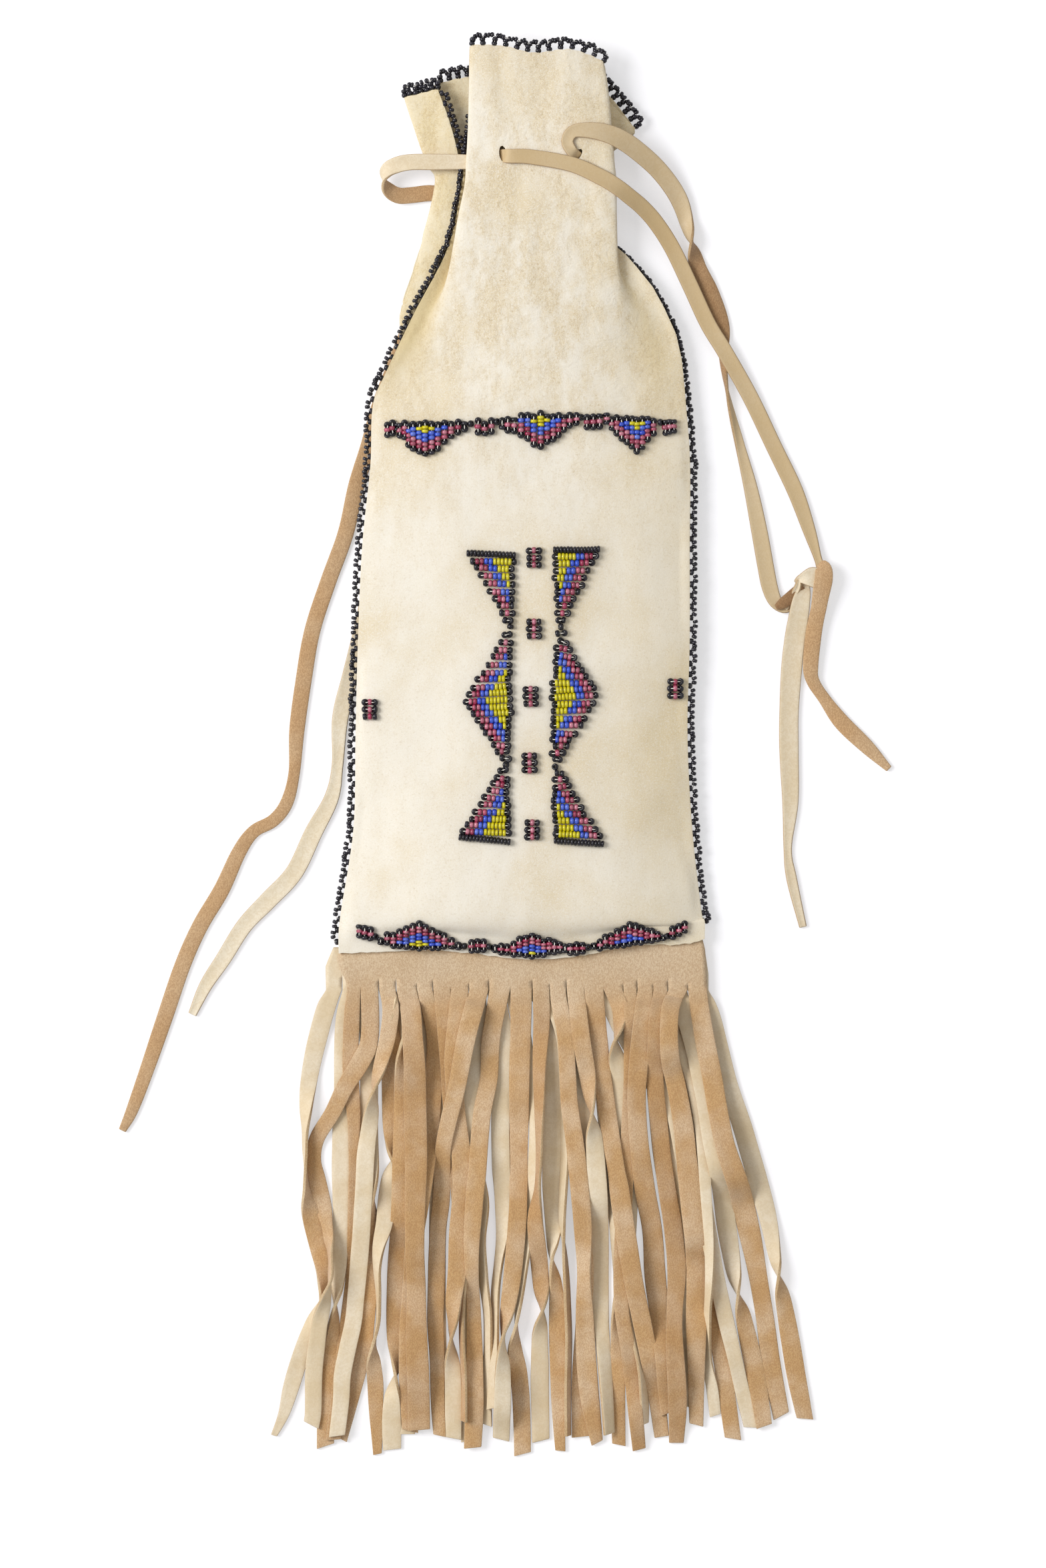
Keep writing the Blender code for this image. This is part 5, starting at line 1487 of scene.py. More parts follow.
BACK_STRANDS = (
    (488, 513, 1455, 0.1, (
        (501, 1465, 24), (487, 1515, 28), (474, 1566), (464, 1617, 25), (459, 1655, 22, 30),
        (457, 1693, 22, 70), (457, 1732, 22, 80), (460, 1783, 22, 110), (466, 1820, 26, 165),
        (478, 1870, 27, 180), (486, 1910, 22, 160), (484, 1945, 22, 100), (468, 1985, 22, 30),
        (452, 2030, 25, 0), (437, 2080, 24), (426, 2118, 17), (411, 2152, 9))),
    (513, 540, 1455, 0.0, (
        (526, 1470, 26), (517, 1528, 27), (515, 1579), (514, 1630), (511, 1690), (511, 1740, 28),
        (512, 1790, 27), (512, 1834, 25), (509, 1887, 23), (506, 1927, 20, 30),
        (503, 1954, 20, 85), (500, 1994, 20, 150), (494, 2048, 22, 180), (487, 2101, 24),
        (488, 2168, 26))),
    (540, 567, 1455, 0.15, (
        (552, 1470, 27), (552, 1540), (553, 1612), (553, 1680), (556, 1750, 26, 20),
        (559, 1800, 22, 90), (558, 1860, 24, 170), (554, 1914, 25, 180), (550, 1967), (546, 2008),
        (538, 2048, 24), (528, 2088, 23), (519, 2128, 20), (512, 2158, 16))),
    (567, 594, 1455, 0.1, (
        (581, 1470, 26), (588, 1510, 26, 60), (589, 1550, 28, 150), (589, 1600, 33, 180),
        (590, 1681, 32), (591, 1719, 26, 150), (588, 1750, 24, 60), (583, 1775, 26, 0),
        (579, 1805), (576, 1834, 25), (568, 1868, 20, 30), (566, 1901, 18, 60),
        (568, 1941, 18, 75), (567, 1981, 18, 80), (560, 2016, 18, 100), (560, 2044, 22, 160),
        (563, 2080, 24, 180), (564, 2140, 18), (565, 2180, 13))),
    (594, 621, 1455, 0.1, (
        (607, 1470, 26), (605, 1540, 26, 60), (605, 1600, 26, 160), (603, 1680, 27, 180),
        (602, 1760, 28), (601, 1807, 29), (598, 1860), (594, 1914), (594, 1967, 30),
        (595, 2008, 29), (597, 2034, 25, 150), (593, 2064, 22, 85), (588, 2100, 26, 15),
        (587, 2140, 29, 0), (588, 2173, 27))),
    (621, 648, 1455, 0.2, (
        (634, 1470, 26), (630, 1600), (627, 1700), (623, 1800, 25), (620, 1900), (618, 2000),
        (614, 2100, 24), (612, 2150, 22))),
    (648, 675, 1455, 0.1, (
        (662, 1470, 26), (662, 1560), (660, 1640, 25), (657, 1760), (655, 1900), (656, 2000),
        (662, 2100), (669, 2140, 24))),
    (675, 702, 1455, 0.1, (
        (689, 1470, 26), (687, 1600), (690, 1700), (700, 1780, 25), (706, 1850, 24),
        (708, 1960, 22), (706, 2080, 24), (702, 2160, 22))),
    (702, 729, 1455, 0.05, (
        (716, 1470, 26), (718, 1550, 24), (712, 1600), (706, 1650), (706, 1700), (714, 1760),
        (724, 1807, 20, 30), (720, 1860, 20, 40), (725, 1914, 19, 50), (731, 1967, 18, 55),
        (731, 2021), (728, 2075, 20, 40), (727, 2135, 22, 10))),
    (729, 756, 1455, 0.05, (
        (752, 1472, 26), (755, 1560), (753, 1617, 27), (750, 1660), (750, 1700), (751, 1750),
        (753, 1790, 25), (753, 1844, 22, 30), (748, 1890, 18, 50), (743, 1941, 18, 55),
        (741, 2021), (738, 2110, 20, 30))),
    (756, 783, 1455, 0.1, (
        (770, 1470, 26), (785, 1560, 24), (797, 1640, 20, 30), (800, 1690, 18, 50),
        (799, 1740, 18, 45), (797, 1783, 18, 40), (791, 1830, 20), (786, 1880, 20, 45),
        (780, 1935, 20, 60), (774, 1985, 20, 90), (772, 2025, 24, 150), (778, 2060, 26, 180),
        (782, 2110), (783, 2180, 25))),
    (783, 810, 1455, 0.0, (
        (798, 1470, 24), (822, 1515), (829, 1566), (829, 1630, 26), (828, 1681, 28),
        (828, 1732, 29), (828, 1780, 30), (829, 1830, 26), (828, 1860, 20, 30),
        (827, 1886, 18, 85), (833, 1924, 20, 150), (835, 1972, 24, 180), (836, 2020, 25),
        (837, 2068, 23), (838, 2117, 20), (840, 2175, 15))),
    (810, 837, 1455, 0.2, (
        (826, 1470, 24), (846, 1560, 22), (848, 1640, 20, 40), (846, 1757, 20, 60),
        (843, 1830, 20, 70), (846, 1880, 20, 100), (850, 1940, 20, 110), (852, 2004), (852, 2068),
        (852, 2152, 18))),
    (837, 864, 1455, 0.1, (
        (852, 1470, 24), (872, 1600), (876, 1700), (880, 1800, 24, 60), (878, 1900, 24, 150),
        (874, 2000, 24, 180), (871, 2068, 26), (870, 2154))),
    (864, 891, 1455, 0.05, (
        (880, 1470, 24), (900, 1600), (910, 1700), (917, 1780, 20, 30), (921, 1840, 18, 40),
        (925, 1900, 18, 60), (926, 1950, 20, 120), (926, 2020, 22, 180), (926, 2100),
        (927, 2166, 20))),
    (891, 918, 1455, 0.05, (
        (908, 1470, 24), (940, 1560), (975, 1620, 22), (998, 1660, 20), (1003, 1700, 18),
        (1008, 1760), (1014, 1830, 20), (1020, 1900), (1026, 1980), (1030, 2060, 22),
        (1034, 2110, 20))),
    (918, 945, 1455, 0.1, (
        (934, 1470, 24), (975, 1560), (1008, 1660), (1030, 1760), (1056, 1850, 24, 60),
        (1068, 1905, 22, 150), (1072, 1972, 24, 180), (1081, 2036, 25), (1091, 2101),
        (1099, 2157, 24))),
    (945, 972, 1455, 0.0, (
        (962, 1470, 24), (985, 1500), (1006, 1560), (1035, 1660), (1052, 1780), (1066, 1870),
        (1078, 1931), (1091, 1988), (1102, 2036, 22), (1112, 2084), (1126, 2140))),
    (972, 1000, 1455, 0.0, (
        (992, 1470, 24), (1018, 1515), (1029, 1579), (1041, 1630, 22), (1050, 1681, 20),
        (1056, 1732, 19), (1059, 1785, 17), (1063, 1860, 15, 20), (1062, 1924, 16, 50),
        (1060, 1972, 16, 60), (1060, 2036, 16, 40), (1068, 2084, 18, 10), (1073, 2122, 17, 0))),
    (1000, 1030, 1455, 0.05, (
        (1016, 1470, 27), (1038, 1560, 26), (1055, 1640), (1066, 1710, 27), (1081, 1780, 28),
        (1090, 1844, 29), (1099, 1902, 24, 20), (1106, 1940, 20, 90), (1115, 1976, 24, 165),
        (1126, 2030, 28, 180), (1137, 2084, 27), (1146, 2138, 24))),
    (1030, 1062, 1455, 0.05, (
        (1048, 1470, 30), (1068, 1530, 28), (1090, 1620), (1116, 1700, 29), (1139, 1780),
        (1152, 1828, 26), (1162, 1882, 20, 30), (1167, 1912, 20, 90), (1174, 1950, 24, 165),
        (1184, 2004, 28, 180), (1195, 2068), (1207, 2127, 24))),
)


def build_fringes(finishes: Finishes) -> None:
    """Lay the pale back layer on the table and then the suede front layer over it."""
    terrain = Terrain()
    half = HIDE_THICKNESS / 2
    layer = HIDE_THICKNESS + SEAM_GAP
    back = Fringe(
        "back_strands", "back_fringe", ("back_fringe", "back_fringe_tab"), "pale_suede",
        half + layer, [Strand(*row) for row in BACK_STRANDS], header_top=1420,
        left_flare=((1420, 12), (1436, 5), (1449, 0)), right_flare=((1420, -6), (1460, 0)),
        root_rise=0.08, seed=11.0,
    )
    back.build([finishes.smooth, finishes.suede, finishes.strip_edge], terrain)
    front = Fringe(
        "front_strands", "front_fringe", ("front_fringe", "front_fringe_tab"), "tan_suede",
        half + 2 * layer, [Strand(*row) for row in FRONT_STRANDS],
        left_flare=((1420, 0), (1434, -14), (1445, -12), (1458, -7), (1472, -1), (1484, 0)),
        right_flare=((1400, -10), (1408, -7), (1424, -3), (1442, -2), (1484, 0)), seed=5.0,
    )
    front.build([finishes.suede, finishes.smooth, finishes.strip_edge], terrain)


# Seed beads


@dataclass(frozen=True)
class SeedBead:
    """One drawn seed bead, a barrel with a hole along its own Z, one unit across."""

    across: float = 1.0
    hole_share: float = 0.3
    length_share: float = 0.62
    segments: tuple[int, int] = (12, 6)
    hole_squeeze: float = 0.92

    def model(self) -> tuple[np.ndarray, np.ndarray]:
        """Model the bead once.

        Returns:
            Its points and its faces.
        """
        deselect()
        minor = self.across * (1 - self.hole_share) / 4
        bpy.ops.mesh.primitive_torus_add(
            major_segments=self.segments[0], minor_segments=self.segments[1],
            major_radius=self.across / 2 - minor, minor_radius=minor)
        thing = bpy.context.object
        bpy.ops.object.mode_set(mode="EDIT")
        bpy.ops.mesh.select_all(action="SELECT")
        bpy.ops.transform.resize(value=(1.0, 1.0, self.length_share * self.across / (2 * minor)))
        bpy.ops.mesh.select_all(action="DESELECT")
        bpy.ops.object.mode_set(mode="OBJECT")
        inner = self.across / 2 - 1.5 * minor
        for corner in thing.data.vertices:
            corner.select = math.hypot(corner.co.x, corner.co.y) < inner
        bpy.ops.object.mode_set(mode="EDIT")
        bpy.ops.transform.resize(value=(self.hole_squeeze, self.hole_squeeze, 1.0))
        bpy.ops.object.mode_set(mode="OBJECT")
        points = np.array([corner.co for corner in thing.data.vertices])
        faces = np.array([list(face.vertices) for face in thing.data.polygons])
        mesh = thing.data
        bpy.data.objects.remove(thing)
        bpy.data.meshes.remove(mesh)
        return points, faces


@dataclass
class BeadWork:
    """The beads and thread of one group, copied from the modelled bead and joined in one piece."""

    name: str
    node: str
    slot: str
    bead: tuple[np.ndarray, np.ndarray]
    seed: int = 1
    points: list = field(default_factory=list)
    faces: list = field(default_factory=list)
    slots: list = field(default_factory=list)
    shades: list = field(default_factory=list)
    painted_highlights: list = field(default_factory=list)
    count: int = 0
    # How high on a bead the painted highlight along its top starts, and how softly it grows.
    painted_highlight_start: float = 0.45
    painted_highlight_soft: float = 0.42
    thread_sides: int = 5

    def __post_init__(self) -> None:
        """Start the fixed run of small irregularities."""
        self.chance = np.random.default_rng(self.seed)

    def vary(self, spread: float) -> float:
        """A small irregularity around zero."""
        return float(self.chance.uniform(-spread, spread))

    def add(self, centre: Vector, axis: Vector, glass: Glass, wide: float, long: float) -> None:
        """Copy one bead to its place.

        Args:
            centre: Middle of the bead.
            axis: The way that its hole runs.
            glass: Colour of the bead.
            wide: Outer diameter.
            long: Length along the hole.
        """
        turn = np.array(axis.normalized().to_track_quat("Z", "Y").to_matrix())
        size = np.array([wide, wide, long / SeedBead.length_share])
        size = size * (1 + self.chance.uniform(-0.05, 0.05))
        local = self.bead[0] * size
        placed = local @ turn.T + np.array(centre)
        self.points.append(placed)
        self.faces.append(self.bead[1] + self.count)
        self.slots.append(np.full(len(self.bead[1]), glass.value))
        # Painted highlight and shade: each bead gets a random lightness, strongest at the middle of
        # its length and faint at its rims.
        middle = 1 - np.abs(local[:, 2]) / np.abs(local[:, 2]).max()
        self.shades.append(float(self.chance.random()) * (0.25 + 0.75 * middle))
        # Painted highlight along the top of the bead, above a share of its half width.
        rise = (placed[:, 2] - centre.z) / (wide / 2)
        lit = np.clip((rise - self.painted_highlight_start) / self.painted_highlight_soft, 0.0, 1.0)
        self.painted_highlights.append(lit * self.chance.uniform(0.1, 1.0))
        self.count += len(placed)

    def thread(self, line: list[Vector], radius: float = 0.14 * MM) -> None:
        """Run a thread through points.

        Args:
            line: Points in order.
            radius: Half the thread's thickness.
        """
        sides = self.thread_sides
        rings = []
        for number, spot in enumerate(line):
            ahead = line[min(number + 1, len(line) - 1)] - line[max(number - 1, 0)]
            if ahead.length < 1e-9:
                return
            basis = ahead.to_track_quat("Z", "Y").to_matrix()
            rings.extend(
                spot + basis @ Vector((math.cos(a), math.sin(a), 0)) * radius
                for a in (2 * math.pi * i / sides for i in range(sides)))
        faces = []
        for ring in range(len(line) - 1):
            for side in range(sides):
                a, b = ring * sides + side, ring * sides + (side + 1) % sides
                faces.append((a, b, b + sides, a + sides))
        ends = (len(line) - 1) * sides
        middle = len(rings)
        rings.extend((line[0], line[-1]))
        for side in range(sides):
            a, b = side, (side + 1) % sides
            faces.append((b, a, middle, middle))
            faces.append((ends + a, ends + b, middle + 1, middle + 1))
        self.points.append(np.array([list(spot) for spot in rings]))
        self.faces.append(np.array(faces) + self.count)
        self.slots.append(np.full(len(faces), len(Glass)))
        self.shades.append(np.zeros(len(rings)))
        self.painted_highlights.append(np.zeros(len(rings)))
        self.count += len(rings)

    def build(self, finishes: Finishes) -> bpy.types.Object:
        """Join the copies and tie them to the bag.

        Args:
            finishes: The bag's materials.

        Returns:
            The finished group.
        """
        faces = [tuple(dict.fromkeys(face)) for face in np.concatenate(self.faces).tolist()]
        materials = [*finishes.glass, finishes.thread]
        thing = mesh_piece(self.name, np.concatenate(self.points), faces, materials)
        slots = np.concatenate(self.slots).astype(np.int32)
        thing.data.polygons.foreach_set("material_index", slots)
        tones(thing, np.concatenate(self.shades))
        tones(thing, np.concatenate(self.painted_highlights), "painted_highlight")
        return settle(thing, "bag", [self.node])


# Lane-stitched beadwork

LANE_LENGTHS = {Glass.BLACK: 8.0, Glass.ROSE: 6.8, Glass.BLUE: 6.8, Glass.YELLOW: 5.6}
LANE_WIDTHS = {
    Glass.BLACK: 2.5 * MM, Glass.ROSE: 2.36 * MM, Glass.BLUE: 2.42 * MM, Glass.YELLOW: 2.52 * MM,
}
LANE_BAND = (Glass.ROSE, Glass.ROSE, Glass.BLUE, Glass.BLUE)
BAR_PITCH = 5.2
SINGLE_ROOM = 3


@dataclass(frozen=True)
class Lane:
    """One lane of beads from its outer end to its inner end, in pixels.

    Each end is black, and between them come two rose beads, two blue ones and then yellow ones,
    as many as the lane has room for. A bar is all black.
    """

    x0: float
    y0: float
    x1: float
    y1: float
    squeeze: float = 1.0
    bar: bool = False

    def glasses(self) -> list[Glass]:
        """Colours of the lane's beads."""
        room = math.hypot(self.x1 - self.x0, self.y1 - self.y0) / self.squeeze
        if self.bar:
            return [Glass.BLACK] * (int(round(room / BAR_PITCH)) + 1)
        if room < SINGLE_ROOM:
            return [Glass.BLACK]
        full = len(LANE_BAND)
        inner = room - LANE_LENGTHS[Glass.BLACK]
        band = int(np.clip(round(inner / LANE_LENGTHS[Glass.ROSE]), 0, full))
        left = inner - full * LANE_LENGTHS[Glass.ROSE]
        rest = int(max(0, round(left / LANE_LENGTHS[Glass.YELLOW]))) if band == full else 0
        return [Glass.BLACK, *LANE_BAND[:band], *[Glass.YELLOW] * rest, Glass.BLACK]


def columns(*rows: tuple[float, float, float], squeeze: float = 1.0) -> list[Lane]:
    """Upright lanes, each from (x, row of the outer end, row of the inner end)."""
    return [Lane(x, outer, x, inner, squeeze) for x, outer, inner in rows]


def rows_between(*rows: tuple[float, float, float, float]) -> list[Lane]:
    """Level lanes, each from (outer x, outer y, inner x, inner y)."""
    return [Lane(*row) for row in rows]


def spacer_rows(x: float, y: float) -> list[Lane]:
    """Three short lanes under one another, each black, rose, black."""
    return [Lane(x - 7.5, y + step, x + 7.5, y + step) for step in (-10.6, 0, 10.6)]


BEAD_GROUPS = {
    "top_triangle_1": columns(
        (600, 655, 640), (607, 658, 636), (613, 669, 641), (620, 675, 638), (629, 679, 638),
        (638, 683, 636), (647.5, 680, 638), (657, 675, 639), (667, 665, 636), (676.5, 657, 638),
        (687, 651, 635), (697, 646, 638)),
    "top_triangle_2": columns(
        (753, 643, 633), (761, 648, 631), (771, 649, 632), (781, 655, 625), (791, 660, 625),
        (800, 669, 627), (810.5, 672, 622), (820, 665, 626), (829, 661, 627), (837, 655, 625),
        (845, 647, 627), (853.5, 641, 625), (863.5, 637, 625)),
    "top_triangle_3": columns(
        (909, 636, 624), (916.5, 645, 631), (924, 652, 628), (931.5, 660, 631), (939, 665, 629),
        (947, 672, 630), (954, 679, 631), (962, 673, 630), (970, 661, 629), (979.5, 652, 633)),
    "top_spacer_1": columns((581, 654, 639), (589, 652, 636)) + [Lane(596, 645, 596, 639)],
    "top_spacer_2": columns((717, 651, 633), (727, 653, 638), (737, 650, 633))
    + [Lane(706, 638, 707, 638), Lane(745.5, 635, 746, 635)],
    "top_spacer_3": columns((879.5, 643, 628), (889, 643, 627), (898.5, 642, 626))
    + [Lane(871, 628, 871.5, 628)],
    "top_spacer_4": columns((997, 651, 635), (1003, 649, 634), (1009.5, 648, 634))
    + [Lane(989.5, 635, 990, 635)],
    "hem_triangle_1": columns(
        (571, 1409, 1414), (580.5, 1400, 1413), (590, 1401, 1418), (599, 1396, 1418),
        (609, 1391, 1419), (619, 1387, 1421), (629, 1384, 1422), (638, 1388, 1421),
        (648, 1394, 1421), (657, 1398, 1421), (666, 1402, 1419), (677, 1409, 1420),
        (687, 1416, 1421), squeeze=0.83),
    "hem_triangle_2": columns(
        (742, 1419, 1424), (751, 1417, 1428), (760, 1418, 1429), (770, 1414, 1431),
        (779, 1407, 1430), (788, 1404, 1432), (797.5, 1401, 1434), (806.5, 1404, 1431),
        (815, 1410, 1431), (823, 1408, 1427), (831, 1412, 1427), (839, 1414, 1425),
        (847, 1419, 1424), squeeze=0.83),
    "hem_triangle_3": columns(
        (890, 1415, 1420), (899, 1411, 1422), (907, 1404, 1419), (916, 1401, 1419),
        (925, 1396, 1418), (935, 1391, 1417), (943.5, 1385, 1415), (952, 1387, 1413),
        (960.5, 1390, 1413), (969, 1393, 1411), (977, 1395, 1410), (985.5, 1398, 1408),
        (994, 1403, 1408), squeeze=0.83),
    "hem_spacer_1": columns((539, 1389, 1402), (547, 1391, 1405), (556, 1393, 1407))
    + [Lane(563, 1404, 563.5, 1404)],
    "hem_spacer_2": columns((707, 1412, 1425), (716, 1410, 1424), (725, 1411, 1424))
    + [Lane(696.5, 1418, 697, 1418), Lane(733.5, 1419, 734, 1419)],
    "hem_spacer_3": columns((855, 1416, 1428), (864, 1415, 1428), (873, 1415, 1427))
    + [Lane(881.5, 1420, 882, 1420)],
    "hem_spacer_4": columns((1008, 1392, 1405), (1017, 1388, 1401), (1026, 1384, 1396))
    + [Lane(1000.5, 1403, 1001, 1403)],
    "left_upper_wing": [Lane(702, 831, 771, 834, bar=True)] + rows_between(
        (708.5, 843, 771, 844), (714.5, 852, 767, 855), (721, 864, 768, 866), (728, 876, 769, 878),
        (734, 888, 768, 889), (742, 899, 768, 900), (747.5, 909, 767.5, 910), (752, 920, 769, 921),
        (757, 931, 765, 932), (765, 941, 765, 941.5)),
    "left_diamond": rows_between(
        (756.5, 953, 764, 952), (751, 964, 766, 965), (743.5, 975, 765, 976), (739, 985, 765, 986),
        (731.5, 998, 764, 998), (724.5, 1010, 765, 1009), (716, 1019, 761.5, 1018),
        (709.5, 1032, 763, 1029), (703.5, 1042, 764, 1038), (698.5, 1053, 765, 1049),
        (704, 1061, 765, 1060), (709.5, 1071, 767, 1069), (716, 1081, 763, 1079),
        (722.5, 1090, 763, 1089), (727.5, 1099, 762, 1099), (736, 1107, 761, 1108),
        (740, 1117, 762, 1119), (745, 1128, 760, 1126), (753, 1137, 763, 1138),
        (758.5, 1147, 759, 1147)),
    "left_lower_wing": rows_between(
        (750, 1156, 758, 1154), (745, 1166, 761, 1169), (739, 1174, 761, 1178),
        (733, 1184, 759, 1188),
        (726, 1195, 760, 1199), (721, 1206, 762, 1208), (712, 1217, 761, 1218),
        (707.5, 1228, 763, 1228),
        (700, 1236, 762, 1238), (694, 1246, 763, 1249))
    + [Lane(690, 1255, 763, 1262, bar=True)],
    "right_upper_wing": [Lane(897, 825, 831, 826, bar=True)] + rows_between(
        (893, 835, 832, 836), (887, 845, 832.5, 847), (881, 857, 833, 858), (875.5, 868, 831, 868),
        (872.5, 879, 834.5, 879), (866, 889, 835.5, 889), (859.5, 899, 834, 899),
        (855, 909, 837, 909),
        (851, 921, 835, 920.5), (844.5, 931, 837, 931), (840.5, 941, 840, 941)),
    "right_diamond": rows_between(
        (846, 950, 835.5, 951), (849, 966, 840, 962), (854.5, 975, 833.5, 972),
        (860.5, 987, 834.5, 983),
        (866, 998, 832.5, 993), (873, 1006, 833, 1004), (878.5, 1015, 832.5, 1014),
        (885, 1025, 827.5, 1025), (890.5, 1032, 829, 1036), (893, 1043, 827, 1047),
        (889, 1055, 831, 1057), (883, 1065, 829, 1067), (876, 1078, 829, 1078),
        (871, 1088, 829, 1088),
        (862, 1101, 830, 1099), (853.5, 1110, 828, 1109), (850, 1119, 832, 1119),
        (844, 1129, 827, 1130), (839, 1139, 832, 1138), (832, 1150, 831.5, 1150)),
    "right_lower_wing": rows_between(
        (842.5, 1160, 834.5, 1159), (848, 1169, 831, 1169), (853, 1178, 832, 1181),
        (858, 1190, 831, 1190), (865, 1199, 829, 1200), (871, 1211, 830, 1210),
        (875, 1221, 831, 1221), (886, 1231, 832, 1230), (892, 1243, 833, 1241),
        (899, 1253, 833, 1250))
    + [Lane(903, 1265, 832, 1260, bar=True)],
    "centre_spacer_1": spacer_rows(800.5, 838), "centre_spacer_2": spacer_rows(800.5, 944),
    "centre_spacer_3": spacer_rows(795.5, 1045), "centre_spacer_4": spacer_rows(794, 1144),
    "centre_spacer_5": spacer_rows(798, 1244),
    "side_spacer_1": spacer_rows(555, 1064), "side_spacer_2": spacer_rows(1012, 1033),
}


@dataclass
class LaneBeads:
    """Bead lanes sewn to the front of the bag."""

    panel: bpy.types.Object
    bead: tuple[np.ndarray, np.ndarray]
    sunk: float = 0.35 * MM
    bar_share: float = 0.66
    end_length: float = 1.5 * MM
    standing_share: float = 0.65
    standing_tips: tuple[float, float] = (0.75, 1.25)
    lying_tips: tuple[float, float] = (0.1, 0.45)
    thread_radius: float = 0.19 * MM

    def __post_init__(self) -> None:
        """Read the panel that the lanes are sewn to."""
        self.tree = BVHTree.FromObject(self.panel, bpy.context.evaluated_depsgraph_get())

    def seat(self, x: float, y: float) -> Vector:
        """The spot on the panel's face at a pixel."""
        hit = self.tree.ray_cast(SCALE.place(x, y, 3 * BAG_LOFT), -UP)
        return hit[0]

    def lay(self, work: BeadWork, lane: Lane) -> None:
        """Lay the beads and the thread of one lane.

        Args:
            work: Group that gets them.
            lane: The lane.
        """
        glasses = lane.glasses()
        share = self.bar_share if lane.bar else 1.0
        half = [LANE_LENGTHS[glass] * share / 2 for glass in glasses]
        run = np.cumsum([0.0] + [a + b for a, b in zip(half, half[1:])])
        full = max(run[-1], 1e-6)
        drawn = math.hypot(lane.x1 - lane.x0, lane.y1 - lane.y0)
        fit = drawn / full if len(glasses) > 1 else 1.0
        way = SCALE.place(lane.x1, lane.y1) - SCALE.place(lane.x0, lane.y0)
        way = way.normalized() if way.length > 1e-7 else Vector((1, 0, 0))
        side = UP.cross(way)
        sway = work.vary(0.14 * MM)
        centres = []
        stitches = []
        for number, (glass, reach) in enumerate(zip(glasses, half)):
            share = run[number] / full
            spot = self.seat(lane.x0 + (lane.x1 - lane.x0) * share,
                             lane.y0 + (lane.y1 - lane.y0) * share)
            wide = LANE_WIDTHS[glass]
            arch = math.sin(math.pi * share) * 0.2 * MM if len(glasses) > 2 else 0.0
            spot = spot + UP * (wide / 2 - self.sunk + arch) + side * (
                sway * math.sin(math.pi * share) + work.vary(0.06 * MM))
            end = glass is Glass.BLACK and not lane.bar
            stands = work.chance.random() < self.standing_share
            tips = self.standing_tips if stands else self.lying_tips
            tip = work.chance.uniform(*tips) if end else work.vary(0.08)
            lean = UP * math.sin(tip) * (1 if number == 0 else -1)
            axis = way * math.cos(tip) + lean + side * work.vary(0.22 if end else 0.1)
            long = 2 * reach * SCALE.across * min(fit, 1.1) * 0.97
            if end:
                long = self.end_length * min(fit, 1.0)
            work.add(spot, axis, glass, wide, long)
            inward = way if number == 0 else -way
            if end and len(glasses) > 1:
                axis = axis.normalized() * (1 if number == 0 else -1)
                rise = math.sin(tip)
                crest = [spot - axis * 0.9 * MM, spot, spot + axis * (0.2 + 0.6 * rise) * MM,
                         spot + inward * 1.0 * MM + UP * (0.15 + 0.85 * rise) * MM]
                stitches.append(crest if number == 0 else crest[::-1])
            centres.append(spot)
        if len(stitches) > 1:
            work.thread([*stitches[0], *centres[1:-1], *stitches[-1]], self.thread_radius)

    def build(self, finishes: Finishes) -> None:
        """Lay every group."""
        for number, (node, lanes) in enumerate(BEAD_GROUPS.items()):
            work = BeadWork(f"{node}_beads", node, "lane_beads", self.bead, seed=100 + number)
            for lane in lanes:
                self.lay(work, lane)
            work.build(finishes)


# Edge beadwork


